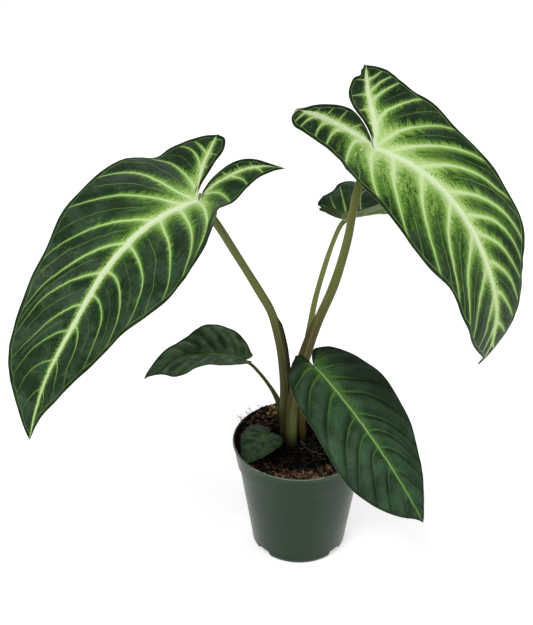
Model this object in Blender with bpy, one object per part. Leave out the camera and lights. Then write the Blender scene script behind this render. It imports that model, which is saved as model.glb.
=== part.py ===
"""Potted Xanthosoma lindenii: six leaves on their stalks, in soil, in a six-inch nursery pot.

Every length is in millimetres until mesh_object() turns it into metres. +Z is up, the
front of the plant looks along -Y, and the origin is the middle of the pot's underside.
"""
import math

import bpy
import bmesh
import numpy as np
from mathutils import Matrix

MM = 0.001
GAP = 0.3                    # clearance between pieces that touch

# Pot
POT_HEIGHT = 138.0
RIM_RADIUS = 76.0
RIM_THICKNESS = 2.2
COLLAR_HEIGHT = 29.0
COLLAR_FOOT_RADIUS = 71.0    # outside of the collar at its lower edge
LEDGE = 2.0                  # step from the collar in to the wall
FOOT_RADIUS = 50.5           # outer edge of the foot ring
CORNER_RADIUS = 54.4         # outside of the wall just above the rounded corner
CORNER_HEIGHT = 8.0
WALL = 1.5
FLOOR_TOP = 4.6
CHANNEL_DEPTH = 2.8          # the underside between the middle pad and the foot ring
PAD_RADIUS = 22.0
CHANNEL_OUTER = 44.5
NOTCH_ANGLES = (50.0, 130.0, 230.0, 310.0)   # degrees round from the front
NOTCH_WIDTH = 17.0
DRAIN_WIDTH = 9.0
DRAIN_RADII = (39.0, 46.0)
POT_SEGMENTS = 48

# Soil
SOIL_LEVEL = 127.0
SOIL_EDGE_LEVEL = 125.5
SOIL_SIDES = 36
SOIL_RINGS = 10
LUMP_COUNT = 70
LUMP_SEED = 5

# Stalks
STALK_FOOT = 105.0           # lower end of every stalk, in its hole
STALK_COLLAR = 132.0         # stalks rise straight up to here, clear of the soil
STALK_SIDES = 10
RINGS_PER_SPAN = 2

# Blades
BLADE_THICKNESS = 0.8
COLUMNS = (0.0, 0.09, 0.32, 0.56, 0.8, 1.0)   # shares of the way from rib to margin
INNER_COLUMNS = (0.0, 0.5, 1.0)
ROWS_PER_VEIN = 3
STATION = 4.0                # spacing of the midrib's stations

# Sides of a blade, seen from above with the tip ahead
LEFT = 0
RIGHT = 1


class Side:
    """Half a blade, laid flat: x outwards from the midrib, y from the junction to the tip."""

    def __init__(self, fold, curl, fold_change, bow, rib, inner, outer, veins):
        self.fold = fold                # degrees that the half rises beside the midrib
        self.curl = curl                # further degrees for each 100 mm outwards
        self.fold_change = fold_change  # degrees added to the fold towards the tip
        self.bow = bow                  # where a side vein bends, as shares of its x and y
        self.rib = rib                  # rib of the basal lobe, from the junction to the lobe's end
        self.inner = inner              # margin along the sinus, same ends
        self.outer = outer              # margin from the lobe's end to the tip
        self.veins = veins              # (start along the ribs, y at the margin)


class Leaf:
    """A leaf: how its blade is held, its two halves, and its stalk."""

    def __init__(self, name, junction, heading, pitch, roll, length, droop, lag, turn, twist,
                 lobe_reach, lobe_rise, sway, ridge, quilt, wave, waves, colour, sides, stalk):
        self.name = name
        self.junction = junction        # where the stalk meets the blade
        self.heading = heading          # degrees round from +X
        self.pitch = pitch              # degrees up from level at the junction
        self.roll = roll                # degrees that the right half is lowered
        self.length = length
        self.droop = droop              # degrees that the midrib bends down, junction to tip
        self.lag = lag                  # over 1, the bend grows towards the tip
        self.turn = turn                # degrees that it bends to the left
        self.twist = twist              # degrees of roll added by the tip
        self.lobe_reach = lobe_reach
        self.lobe_rise = lobe_rise      # degrees that the lobes bend up behind the junction
        self.sway = sway                # sideways offsets of the midrib, junction to tip
        self.ridge = ridge              # how far the midrib stands out below the blade
        self.quilt = quilt              # how far the blade swells between side veins
        self.wave = wave                # height of the margin's waves
        self.waves = waves              # how many waves there are on each side
        self.colour = colour
        self.sides = sides
        self.tip = sides[0].outer[-1][1]
        self.stalk = stalk


class Stalk:
    """A stalk with its sheath: a route, the radius along it and a wing on one side."""

    def __init__(self, name, foot, route, radii, wing, wing_heading, colour):
        self.name = name
        self.foot = foot                # x, y where it stands in the soil
        self.route = route              # points from above the soil to the blade
        self.radii = radii              # radius at equal shares of the route
        self.wing = wing                # width of the sheath's wing at the same shares
        self.wing_heading = wing_heading
        self.colour = colour


DARK_GREEN = (0.028, 0.075, 0.030)
DEEP_GREEN = (0.018, 0.052, 0.020)
STALK_GREEN = (0.16, 0.17, 0.05)
STALK_OLIVE = (0.11, 0.10, 0.035)
STALK_DARK = (0.07, 0.085, 0.03)
POT_GREEN = (0.045, 0.065, 0.048)
SOIL_BROWN = (0.025, 0.014, 0.009)


def left_leaf():
    """The big leaf that hangs to the left."""
    back = Side(
        fold=13, curl=0, fold_change=-2, bow=(0.56, 0.30),
        rib=[(0, 0), (9, -5), (21, -21), (30, -38), (33, -57), (31, -79)],
        inner=[(0, 0), (11, -9), (18, -24), (21, -48), (18, -66), (21, -78), (31, -79)],
        outer=[(31, -79), (46, -72), (62, -58), (75, -38), (80, -17), (87, 3), (92, 18), (91, 45),
               (83, 76), (76, 110), (67, 143), (62, 175), (58, 203), (50, 228), (37, 254),
               (22, 277), (8, 297), (0, 307)],
        veins=[(-68, -64), (-44, -48), (-12, -12), (4, 50), (17, 90), (52, 142), (90, 212),
               (129, 232), (165, 246), (193, 258), (225, 274)])
    front = Side(
        fold=13, curl=-12, fold_change=-4, bow=(0.95, 0.20),
        rib=[(0, 0), (-9, -9), (-11, -22), (-4, -37), (13, -52), (42, -66), (70, -73)],
        inner=[(0, 0), (-14, -16), (-21, -34), (-13, -50), (4, -62), (30, -70), (70, -73)],
        outer=[(70, -73), (56, -63), (43, -50), (37, -31), (38, -10), (41, 10), (59, 33), (77, 55),
               (88, 80), (92, 103), (88, 126), (77, 149), (63, 173), (50, 201), (37, 230),
               (24, 256), (9, 280), (0, 307)],
        veins=[(-78, -62), (-50, -45), (-14, -16), (2, 42), (24, 84), (47, 130), (92, 172),
               (126, 197), (152, 224), (186, 250), (222, 274)])
    stalk = Stalk(
        "stalk_left", foot=(-17, 14),
        route=[(-17, 14, 132), (-17, 12, 165), (-18, 9, 212), (-23, 4, 260), (-32, 0, 302),
               (-46, -5, 334), (-69, -11, 380), (-89, -18, 420), (-103, -22, 443)],
        radii=[6.0, 5.8, 5.4, 5.0, 4.6, 4.4, 4.2, 4.2, 4.0],
        wing=[0.6, 1.6, 2.6, 3.4, 1.2, 0, 0, 0, 0], wing_heading=-10, colour=STALK_OLIVE)
    return Leaf("leaf_left", junction=(-104.6, -23, 446.5), heading=225, pitch=0, roll=0, length=307,
                droop=74, lag=1, turn=7, twist=-8, lobe_reach=84, lobe_rise=76,
                sway=(0, 6, 3.5, -2, 2, 3.5), ridge=3.0, quilt=1.3, wave=1.6, waves=5,
                colour=DARK_GREEN, sides=(front, back), stalk=stalk)


def right_leaf():
    """The big, high leaf that arches over to the right."""
    upper = Side(
        fold=13, curl=0, fold_change=-9, bow=(0.78, 0.30),
        rib=[(0, 0), (8, -4), (21, -13), (32, -26), (40, -43), (46, -62), (49, -84)],
        inner=[(0, 0), (12, -12), (19, -28), (19, -50), (22, -66), (34, -78), (49, -84)],
        outer=[(49, -84), (62, -76), (75, -63), (83, -46), (88, -25), (86, -3), (80, 22), (70, 48),
               (65, 75), (65, 105), (64, 130), (61, 155), (52, 177), (43, 201), (33, 228),
               (25, 250), (14, 267), (5, 279), (0, 287)],
        veins=[(-69, -52), (-56, -38), (-34, 4), (2, 44), (12, 86), (46, 127), (84, 165),
               (112, 184), (132, 200), (163, 220), (196, 238), (230, 256)])
    lower = Side(
        fold=7, curl=-15, fold_change=-8, bow=(0.75, 0.30),
        rib=[(0, 0), (-5, -8), (-3, -20), (8, -40), (31, -63), (60, -84)],
        inner=[(0, 0), (-16, -14), (-26, -28), (-25, -42), (-12, -53), (8, -64), (34, -76),
               (60, -84)],
        outer=[(60, -84), (71, -82), (70, -71), (61, -60), (51, -46), (43, -31), (43, -14), (53, 2),
               (62, 22), (68, 45), (76, 72), (78, 98), (75, 118), (70, 141), (60, 163), (55, 180),
               (53, 196), (48, 214), (41, 236), (28, 254), (13, 270), (4, 280), (0, 287)],
        veins=[(-65, -64), (-53, -48), (-38, -33), (-8, -6), (2, 38), (18, 92), (52, 142),
               (94, 188), (130, 216), (168, 232), (198, 250), (234, 262)])
    stalk = Stalk(
        "stalk_right", foot=(-9, 4),
        route=[(-9, 4, 132), (-8, 4, 165), (-1, 2, 218), (8, 2, 258), (17, 1, 291),
               (33, 0, 337), (45, -2, 389), (53, -4, 445), (65, -4, 487)],
        radii=[5.8, 5.4, 5.0, 4.9, 4.8, 4.6, 4.4, 4.3, 4.2],
        wing=[2.0, 1.4, 0.4, 0, 0, 0, 0, 0, 0], wing_heading=200, colour=STALK_GREEN)
    return Leaf("leaf_right", junction=(67.7, -5, 495), heading=-34, pitch=-11, roll=8, length=278,
                droop=100, lag=1.2, turn=-11, twist=0, lobe_reach=88, lobe_rise=88,
                sway=(0, -6.5, -5, -2.5, -6, -9), ridge=3.0, quilt=1.3, wave=1.4, waves=5,
                colour=DARK_GREEN, sides=(upper, lower), stalk=stalk)


def rear_leaf():
    """The folded leaf behind the right one."""
    def half(fold, curl):
        return Side(
            fold=fold, curl=curl, fold_change=-12, bow=(0.8, 0.30),
            rib=[(0, 0), (6, -6), (12, -13), (17, -22), (20, -32)],
            inner=[(0, 0), (3, -8), (6, -18), (11, -28), (20, -32)],
            outer=[(20, -32), (30, -29), (39, -18), (44, 0), (48, 24), (48, 52), (44, 85),
                   (35, 115), (23, 145), (10, 170), (0, 188)],
            veins=[(-26, -24), (-11, -4), (3, 36), (20, 64), (45, 92), (72, 116), (98, 138),
                   (126, 158), (154, 174)])
    stalk = Stalk(
        "stalk_rear", foot=(-6, 19),
        route=[(-6, 19, 132), (-4, 20, 165), (-1, 24, 201), (6, 32, 252), (15, 40, 295),
               (28, 50, 342), (39, 57, 372), (44, 60, 381)],
        radii=[4.0, 3.8, 3.7, 3.6, 3.1, 2.8, 2.7, 2.6],
        wing=[0.6, 1.0, 1.6, 1.8, 0.4, 0, 0, 0], wing_heading=190, colour=STALK_GREEN)
    return Leaf("leaf_rear", junction=(46, 60, 385), heading=22, pitch=6, roll=0, length=188,
                droop=62, lag=1, turn=8, twist=0, lobe_reach=34, lobe_rise=25, sway=(0, 0, 0, 0),
                ridge=2.4, quilt=1.0, wave=1.4, waves=4, colour=DARK_GREEN,
                sides=(half(28, -10), half(30, -8)), stalk=stalk)


def front_leaf():
    """The dark leaf that leans out over the rim at the front right."""
    right_hand = Side(
        fold=4, curl=-11, fold_change=-7, bow=(0.85, 0.30),
        rib=[(0, 0), (5, -6), (9, -12), (12, -19)],
        inner=[(0, 0), (2, -8), (5, -16), (12, -19)],
        outer=[(12, -19), (24, -12), (38, 1), (47, 20), (52, 45), (54, 75), (57, 105), (53, 130),
               (41, 158), (23, 181), (6, 196), (0, 204)],
        veins=[(-8, -8), (1, 14), (12, 44), (36, 90), (71, 118), (91, 135), (111, 157),
               (134, 172), (162, 188)])
    left_hand = Side(
        fold=5, curl=-7, fold_change=-4, bow=(0.8, 0.30),
        rib=[(0, 0), (6, -5), (13, -10), (20, -15)],
        inner=[(0, 0), (4, -9), (11, -16), (20, -15)],
        outer=[(20, -15), (32, -9), (43, 5), (53, 25), (58, 50), (56, 82), (47, 118), (35, 147),
               (19, 176), (7, 194), (0, 204)],
        veins=[(-8, -4), (4, 24), (16, 56), (37, 102), (68, 127), (88, 145), (110, 162),
               (136, 182), (164, 192)])
    stalk = Stalk(
        "stalk_front", foot=(3, 12),
        route=[(3, 12, 132), (2, 6, 156), (2, -4, 187), (5, -13, 213), (10, -24, 243),
               (12, -28, 252)],
        radii=[4.0, 3.6, 3.2, 2.8, 2.5, 2.4],
        wing=[0.8, 0.8, 0.5, 0, 0, 0], wing_heading=30, colour=STALK_GREEN)
    return Leaf("leaf_front", junction=(13, -30, 256), heading=-47, pitch=-23, roll=2, length=204,
                droop=36, lag=1, turn=6, twist=6, lobe_reach=20, lobe_rise=25, sway=(0, 0, 0, 0),
                ridge=1.8, quilt=1.6, wave=1.0, waves=4, colour=DEEP_GREEN,
                sides=(left_hand, right_hand), stalk=stalk)


def low_leaf():
    """The small arching leaf low on the left."""
    near = Side(
        fold=15, curl=-5, fold_change=-12, bow=(0.8, 0.30),
        rib=[(0, 0), (4, -3), (7, -5), (10, -6)],
        inner=[(0, 0), (2, -5), (5, -8), (10, -6)],
        outer=[(10, -6), (17, -2), (27, 5), (33, 14), (32, 24), (31, 35), (34, 50), (37, 64),
               (35, 77), (26, 87), (16, 96), (5, 110), (0, 120)],
        veins=[(2, 16), (14, 38), (28, 57), (44, 75), (62, 91), (82, 104)])
    far = Side(
        fold=24, curl=0, fold_change=-2, bow=(0.8, 0.30),
        rib=[(0, 0), (4, -2), (8, -4), (12, -5)],
        inner=[(0, 0), (3, -5), (7, -8), (12, -5)],
        outer=[(12, -5), (22, 3), (33, 16), (38, 31), (35, 46), (26, 60), (18, 77), (11, 95),
               (4, 112), (0, 120)],
        veins=[(2, 16), (14, 36), (28, 52), (44, 68), (62, 86), (82, 101)])
    stalk = Stalk(
        "stalk_low_left", foot=(-24, 24),
        route=[(-24, 24, 132), (-24, 21, 151), (-25, 18, 171), (-29, 15, 187), (-36, 11, 205),
               (-45, 6, 222), (-54, 2, 236), (-60, -1, 243)],
        radii=[3.2, 3.0, 2.8, 2.5, 2.1, 1.9, 1.8, 1.8],
        wing=[0.4, 0.8, 1.2, 0.9, 0, 0, 0, 0], wing_heading=60, colour=STALK_DARK)
    return Leaf("leaf_low_left", junction=(-61, -1, 245), heading=174, pitch=15, roll=4,
                length=120, droop=57, lag=1, turn=12, twist=-17, lobe_reach=12, lobe_rise=20,
                sway=(0, 3, 3.5, 4, 3, 0), ridge=1.2, quilt=1.6, wave=1.2, waves=3,
                colour=DEEP_GREEN, sides=(near, far), stalk=stalk)


def small_leaf():
    """The young leaf that lies just over the soil at the front left."""
    def half(fold):
        return Side(
            fold=fold, curl=-10, fold_change=-4, bow=(0.8, 0.30),
            rib=[(0, 0), (4, -4), (8, -9), (11, -14)],
            inner=[(0, 0), (1.5, -6), (4, -12), (11, -14)],
            outer=[(11, -14), (20, -9), (25, 2), (24, 16), (18, 29), (8, 41), (0, 48)],
            veins=[(-6, -5), (1, 10), (8, 22), (18, 33), (29, 41)])
    stalk = Stalk(
        "stalk_small", foot=(-29, -6),
        route=[(-29, -6, 132), (-30, -6.2, 135), (-32.5, -6.8, 139), (-35.5, -7.5, 143)],
        radii=[1.6, 1.5, 1.4, 1.3], wing=[0, 0, 0, 0], wing_heading=0,
        colour=STALK_DARK)
    return Leaf("leaf_small", junction=(-38, -8, 148), heading=244, pitch=6, roll=0, length=48,
                droop=26, lag=1, turn=0, twist=0, lobe_reach=14, lobe_rise=5, sway=(0, 0, 0, 0),
                ridge=0.8, quilt=0.7, wave=0.8, waves=2, colour=DEEP_GREEN,
                sides=(half(8), half(8)), stalk=stalk)


def clear_scene():
    for thing in list(bpy.data.objects):
        bpy.data.objects.remove(thing, do_unlink=True)


def principled(name, colour, roughness):
    material = bpy.data.materials.new(name)
    material.use_nodes = True
    shader = material.node_tree.nodes["Principled BSDF"]
    shader.inputs["Base Color"].default_value = (*colour, 1.0)
    shader.inputs["Roughness"].default_value = roughness
    shader.inputs["Metallic"].default_value = 0.0
    return material


def mesh_object(name, points, faces, material, crease=50.0):
    """An object from points in millimetres, with its faces turned outwards."""
    mesh = bpy.data.meshes.new(name)
    mesh.from_pydata([tuple(float(v) * MM for v in p) for p in points], [], faces)
    mesh.materials.append(material)
    work = bmesh.new()
    work.from_mesh(mesh)
    bmesh.ops.recalc_face_normals(work, faces=work.faces)
    work.to_mesh(mesh)
    work.free()
    mesh.shade_smooth()
    mesh.set_sharp_from_angle(angle=math.radians(crease))
    thing = bpy.data.objects.new(name, mesh)
    bpy.context.scene.collection.objects.link(thing)
    return thing


def smooth_curve(points, per_span=12):
    """Samples of a Catmull-Rom curve through the points."""
    p = np.asarray(points, float)
    p = np.vstack([2 * p[0] - p[1], p, 2 * p[-1] - p[-2]])
    t = np.linspace(0.0, 1.0, per_span, endpoint=False)[:, None]
    spans = []
    for a, b, c, d in zip(p[:-3], p[1:-2], p[2:-1], p[3:]):
        spans.append(0.5 * (2 * b + (c - a) * t + (2 * a - 5 * b + 4 * c - d) * t ** 2
                            + (3 * b - a - 3 * c + d) * t ** 3))
    return np.vstack(spans + [p[-2:-1]])


def lengths_along(curve):
    steps = np.linalg.norm(np.diff(curve, axis=0), axis=1)
    return np.concatenate([[0.0], np.cumsum(steps)])


def at_length(curve, distance):
    """The point of a sampled curve at a distance along it."""
    along = lengths_along(curve)
    return np.array([np.interp(distance, along, curve[:, k]) for k in range(curve.shape[1])])


def rotate(vector, axis, degrees):
    return np.array(Matrix.Rotation(math.radians(degrees), 3, tuple(axis))) @ vector


class BladeSurface:
    """Bends a flat blade in space: the midrib is a space curve with a frame at each station."""

    def __init__(self, leaf):
        self.leaf = leaf
        heading = math.radians(leaf.heading)
        pitch = math.radians(leaf.pitch)
        ahead = np.array([math.cos(pitch) * math.cos(heading),
                          math.cos(pitch) * math.sin(heading), math.sin(pitch)])
        across = rotate(np.array([math.sin(heading), -math.cos(heading), 0.0]), ahead, leaf.roll)
        up = np.cross(across, ahead)
        start = (np.array(leaf.junction, float), ahead, across, up)
        forward = self.march(start, leaf.length, leaf.droop, leaf.lag, leaf.turn, leaf.twist)
        back = self.march(start, -leaf.lobe_reach, leaf.lobe_rise, 1.0, 0.0, 0.0)
        stations = back[:0:-1] + forward
        self.y = np.array([s[0] for s in stations])
        self.frames = [np.array([s[k] for s in stations]) for k in range(1, 5)]

    def march(self, start, length, droop, lag, turn, twist):
        """Frames along one stretch of the midrib, each bent a little from the last."""
        place, ahead, across, up = start
        count = max(1, math.ceil(abs(length) / STATION))
        step = length / count
        stations = [(0.0, place, ahead, across, up)]
        for k in range(count):
            bend = -droop * lag * ((k + 0.5) / count) ** (lag - 1) / count
            before = ahead
            ahead, up = rotate(ahead, across, bend), rotate(up, across, bend)
            middle = (before + ahead) / np.linalg.norm(before + ahead)
            ahead, across = rotate(ahead, up, turn / count), rotate(across, up, turn / count)
            across, up = rotate(across, ahead, twist / count), rotate(up, ahead, twist / count)
            place = place + middle * step
            stations.append(((k + 1) * step, place, ahead, across, up))
        return stations

    def sway(self, y):
        """The midrib's sideways offset."""
        offsets = np.asarray(self.leaf.sway, float)
        curve = smooth_curve(np.column_stack([np.linspace(0, 1, len(offsets)), offsets]))
        return np.interp(np.clip(y / self.leaf.length, 0, 1), curve[:, 0], curve[:, 1])

    def place(self, hand, x, y, lift):
        """Points in space for flat points of one half, raised off the blade by lift."""
        centre, ahead, across, up = [
            np.stack([np.interp(y, self.y, f[:, k]) for k in range(3)], -1) for f in self.frames]
        side = self.leaf.sides[hand]
        past = np.clip(y - self.y[-1], 0, None) + np.clip(y - self.y[0], None, 0)
        centre = centre + ahead * past[:, None] + across * self.sway(y)[:, None]
        share = np.clip(y / self.leaf.length, 0, 1)
        first = np.radians(side.fold + side.fold_change * share)
        last = first + math.radians(side.curl) / 100.0 * x
        middle = 0.5 * (first + last)
        out = x * np.cos(middle)
        rise = x * np.sin(middle) + lift
        sign = 1.0 if hand == RIGHT else -1.0
        return centre + across * (sign * out)[:, None] + up * rise[:, None]


def rib_point(side, start):
    """A place on the ribs: along the midrib, or along the lobe's rib where start is negative."""
    if start >= 0:
        return np.array([0.0, start])
    return at_length(smooth_curve(side.rib), -start)


def rib_length(side):
    return lengths_along(smooth_curve(side.rib))[-1]


def margin_point(side, y):
    curve = smooth_curve(side.outer)
    rising = np.maximum.accumulate(curve[:, 1] + np.arange(len(curve)) * 1e-6)
    return np.array([np.interp(y, rising, curve[:, 0]), y])


def row_table(leaf, side):
    """Starts, margin heights and vein numbers of the rows that bound each stretch."""
    starts = [-rib_length(side)] + [v[0] for v in side.veins] + [leaf.tip]
    ends = [side.outer[0][1]] + [v[1] for v in side.veins] + [leaf.tip]
    return np.array(starts, float), np.array(ends, float), np.arange(len(starts), dtype=float)


def row_curve(side, start, end, shares):
    """Flat points of one row, from the rib out to the margin, bowed like a side vein."""
    foot = rib_point(side, start)
    tip = margin_point(side, end)
    bend = foot + (tip - foot) * np.array(side.bow)
    t = np.asarray(shares)[:, None]
    return foot * (1 - t) ** 2 + bend * 2 * t * (1 - t) + tip * t ** 2


def shared_starts(leaf):
    """Row starts along the midrib: the mean of both halves' veins, with rows between them."""
    pairs = [[v[0] for v in side.veins if v[0] > 0] for side in leaf.sides]
    count = min(len(pairs[0]), len(pairs[1]))
    knots = [0.0]
    for k in range(count):
        knots.append(0.5 * (pairs[0][k] + pairs[1][k]))
    knots.append(leaf.tip)
    starts = []
    for low, high in zip(knots[:-1], knots[1:]):
        rows = ROWS_PER_VEIN if high - low > 16 else 1
        starts += list(np.linspace(low, high, rows, endpoint=False))
    return starts + [leaf.tip]


def lobe_starts(side):
    """Row starts along the lobe's rib, from its end to just before the junction."""
    knots = [-rib_length(side)] + [v[0] for v in side.veins if v[0] < 0] + [0.0]
    starts = []
    for low, high in zip(knots[:-1], knots[1:]):
        rows = 2 if high - low > 9 else 1
        starts += list(np.linspace(low, high, rows, endpoint=False))
    return starts


class BladeGrid:
    """Collects a blade's points and triangles, with no point made twice."""

    def __init__(self, leaf):
        self.leaf = leaf
        self.surface = BladeSurface(leaf)
        self.points = []
        self.ridges = []
        self.triangles = []

    def add(self, hand, flat, lift, ridge):
        place = self.surface.place(hand, flat[:1], flat[1:], np.array([lift]))[0]
        self.points.append(place)
        self.ridges.append(ridge)
        return len(self.points) - 1

    def relief(self, side, start, share, margin_share):
        """Swelling between veins, and the margin's waves."""
        starts, _, numbers = row_table(self.leaf, side)
        number = np.interp(start, starts, numbers)
        swell = math.sin(math.pi * (number % 1.0)) ** 2 * math.sin(math.pi * share ** 0.8)
        ripple = math.sin(2 * math.pi * self.leaf.waves * margin_share) * share ** 3
        fade = min(1.0, 4 * (1 - margin_share), 6 * margin_share)
        return self.leaf.quilt * swell + self.leaf.wave * ripple * max(0.0, fade)

    def join(self, above, below, flip):
        """Two triangles for each cell between two rows of point numbers."""
        for k in range(len(above) - 1):
            a, b, c, d = above[k], above[k + 1], below[k + 1], below[k]
            for corner in ((a, b, c), (a, c, d)):
                if len(set(corner)) == 3:
                    self.triangles.append(corner[::-1] if flip else corner)

    def outer_rows(self, hand, midrib):
        """Rows of one half from the lobe's end to the tip, out to the outer margin."""
        leaf = self.leaf
        side = leaf.sides[hand]
        starts, ends, _ = row_table(leaf, side)
        rows = []
        ribs = []
        all_starts = lobe_starts(side) + sorted(midrib)
        for start in all_starts:
            end = float(np.interp(start, starts, ends))
            margin_share = (end - ends[0]) / (ends[-1] - ends[0])
            if start in midrib:
                rib = midrib[start]
            else:
                rib = self.add(hand, rib_point(side, start), 0.0, 0.35 * leaf.ridge)
            if start in (starts[0], starts[-1]):
                rows.append([rib] * len(COLUMNS))
                ribs.append((start, rib))
                continue
            row = [rib]
            for share, flat in zip(COLUMNS[1:], row_curve(side, start, end, COLUMNS[1:])):
                lift = self.relief(side, start, share, margin_share)
                row.append(self.add(hand, flat, lift, 0.0))
            rows.append(row)
            ribs.append((start, rib))
        for above, below in zip(rows[:-1], rows[1:]):
            self.join(above, below, hand == LEFT)
        return [pair for pair in ribs if pair[0] <= 0]

    def inner_rows(self, hand, ribs):
        """Rows of the lobe from its rib in to the sinus."""
        side = self.leaf.sides[hand]
        edge = smooth_curve(side.inner)
        edge_length = lengths_along(edge)[-1]
        reach = rib_length(side)
        rows = []
        for start, rib in ribs:
            share_along = -start / reach
            if share_along > 0.999 or share_along < 0.001:
                rows.append([rib] * len(INNER_COLUMNS))
                continue
            foot = rib_point(side, start)
            tip = at_length(edge, edge_length * share_along)
            row = [rib]
            for share in INNER_COLUMNS[1:]:
                row.append(self.add(hand, foot + (tip - foot) * share, 0.0, 0.0))
            rows.append(row)
        for above, below in zip(rows[:-1], rows[1:]):
            self.join(above, below, hand == RIGHT)

    def build(self):
        leaf = self.leaf
        midrib = {}
        for start in shared_starts(leaf):
            fade = max(0.12, 1 - start / leaf.tip)
            midrib[start] = self.add(RIGHT, np.array([0.0, start]), 0.0, leaf.ridge * fade)
        for hand in (LEFT, RIGHT):
            self.inner_rows(hand, self.outer_rows(hand, midrib))
        return thicken(np.array(self.points), self.triangles, np.array(self.ridges))


def thicken(points, triangles, ridges):
    """A closed sheet: the same triangles above and below, and a wall round the edge."""
    corners = points[np.array(triangles)]
    facing = np.cross(corners[:, 1] - corners[:, 0], corners[:, 2] - corners[:, 0])
    normals = np.zeros_like(points)
    for k in range(3):
        np.add.at(normals, np.array(triangles)[:, k], facing)
    normals /= np.linalg.norm(normals, axis=1)[:, None]
    half = BLADE_THICKNESS / 2
    top = points + normals * half
    bottom = points - normals * (half + ridges)[:, None]
    count = len(points)
    faces = [tuple(t) for t in triangles]
    faces += [(a + count, c + count, b + count) for a, b, c in triangles]
    directed = {(t[k], t[(k + 1) % 3]) for t in triangles for k in range(3)}
    for a, b in sorted(directed):
        if (b, a) not in directed:
            faces.append((b, a, a + count))
            faces.append((b, a + count, b + count))
    return np.vstack([top, bottom]), faces


def build_blade(leaf):
    points, faces = BladeGrid(leaf).build()
    return mesh_object(leaf.name, points, faces, principled(leaf.name, leaf.colour, 0.38))


def section(radius, wing):
    """One ring of a stalk: round, with the sheath's wing drawn out at angle zero."""
    ring = []
    for k in range(STALK_SIDES):
        angle = 2 * math.pi * k / STALK_SIDES
        reach = radius + wing * math.exp(-(math.remainder(angle, 2 * math.pi) / 0.45) ** 2)
        ring.append((reach * math.cos(angle), reach * math.sin(angle)))
    return ring


def ring_points(centre, ahead, wing_heading, ring):
    """A ring's points in space, square to the stalk, its wing turned to its heading."""
    heading = math.radians(wing_heading)
    side = np.array([math.cos(heading), math.sin(heading), 0.0])
    side = side - ahead * (side @ ahead)
    side /= np.linalg.norm(side)
    other = np.cross(ahead, side)
    return [centre + side * u + other * v for u, v in ring]


def stalk_top(leaf):
    """A plane just under the blade at the junction: a point on it and its normal."""
    surface = BladeSurface(leaf)
    index = int(np.argmin(np.abs(surface.y)))
    up = surface.frames[3][index]
    return np.array(leaf.junction) - up * (BLADE_THICKNESS / 2 + leaf.ridge + GAP), up


def build_stalk(leaf):
    stalk = leaf.stalk
    curve = smooth_curve(stalk.route, RINGS_PER_SPAN)
    shares = np.linspace(0, 1, len(curve))
    knots = np.linspace(0, 1, len(stalk.radii))
    radii = np.interp(shares, knots, stalk.radii)
    wings = np.interp(shares, knots, stalk.wing)
    upright = np.array([0.0, 0.0, 1.0])
    rings = []
    foot = np.array([*stalk.foot, STALK_FOOT])
    rings.append(ring_points(foot, upright, stalk.wing_heading,
                             section(radii[0], wings[0])))
    for k, centre in enumerate(curve[:-1]):
        ahead = curve[min(k + 1, len(curve) - 1)] - curve[max(k - 1, 0)]
        ahead = upright if k == 0 else ahead / np.linalg.norm(ahead)
        rings.append(ring_points(centre, ahead, stalk.wing_heading,
                                 section(radii[k], wings[k])))
    anchor, up = stalk_top(leaf)
    ahead = curve[-1] - curve[-2]
    ahead /= np.linalg.norm(ahead)
    last = ring_points(curve[-1], ahead, stalk.wing_heading,
                       section(radii[-1], wings[-1]))
    rings.append([p + ahead * (((anchor - p) @ up) / (ahead @ up)) for p in last])
    points = [p for ring in rings for p in ring]
    n = STALK_SIDES
    faces = [tuple(reversed(range(n))), tuple(range(len(points) - n, len(points)))]
    for r in range(len(rings) - 1):
        for k in range(n):
            a, b = r * n + k, r * n + (k + 1) % n
            faces.append((a, b, b + n))
            faces.append((a, b + n, a + n))
    return mesh_object(stalk.name, points, faces, principled(stalk.name, stalk.colour, 0.5))


def hole_cutter(stalk, collection):
    """The plain hole that a stalk stands in, a little wider than its foot."""
    ring = section(stalk.radii[0] + GAP, stalk.wing[0])
    upright = np.array([0.0, 0.0, 1.0])
    points = []
    for z in (STALK_FOOT - GAP, POT_HEIGHT + 5.0):
        centre = np.array([*stalk.foot, z])
        points += ring_points(centre, upright, stalk.wing_heading, ring)
    n = STALK_SIDES
    faces = [tuple(reversed(range(n))), tuple(range(n, 2 * n))]
    faces += [(k, (k + 1) % n, (k + 1) % n + n, k + n) for k in range(n)]
    return cutter("hole_" + stalk.name, points, faces, collection)


def cutter(name, points, faces, collection):
    """A hidden solid that a Boolean takes away."""
    thing = mesh_object(name, points, faces, principled(name, (0.5, 0.5, 0.5), 0.5))
    bpy.context.scene.collection.objects.unlink(thing)
    collection.objects.link(thing)
    thing.hide_render = True
    thing.display_type = "WIRE"
    return thing


def cutter_collection(name):
    collection = bpy.data.collections.new(name)
    bpy.context.scene.collection.children.link(collection)
    return collection


def subtract(thing, collection):
    cut = thing.modifiers.new("cut", "BOOLEAN")
    cut.operation = "DIFFERENCE"
    cut.operand_type = "COLLECTION"
    cut.collection = collection
    cut.solver = "EXACT"


def collar_foot():
    return POT_HEIGHT - COLLAR_HEIGHT


def wall_radius(z):
    """Outside of the tapered wall below the collar."""
    share = (z - CORNER_HEIGHT) / (collar_foot() - CORNER_HEIGHT)
    return CORNER_RADIUS + (COLLAR_FOOT_RADIUS - LEDGE - CORNER_RADIUS) * share


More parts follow.
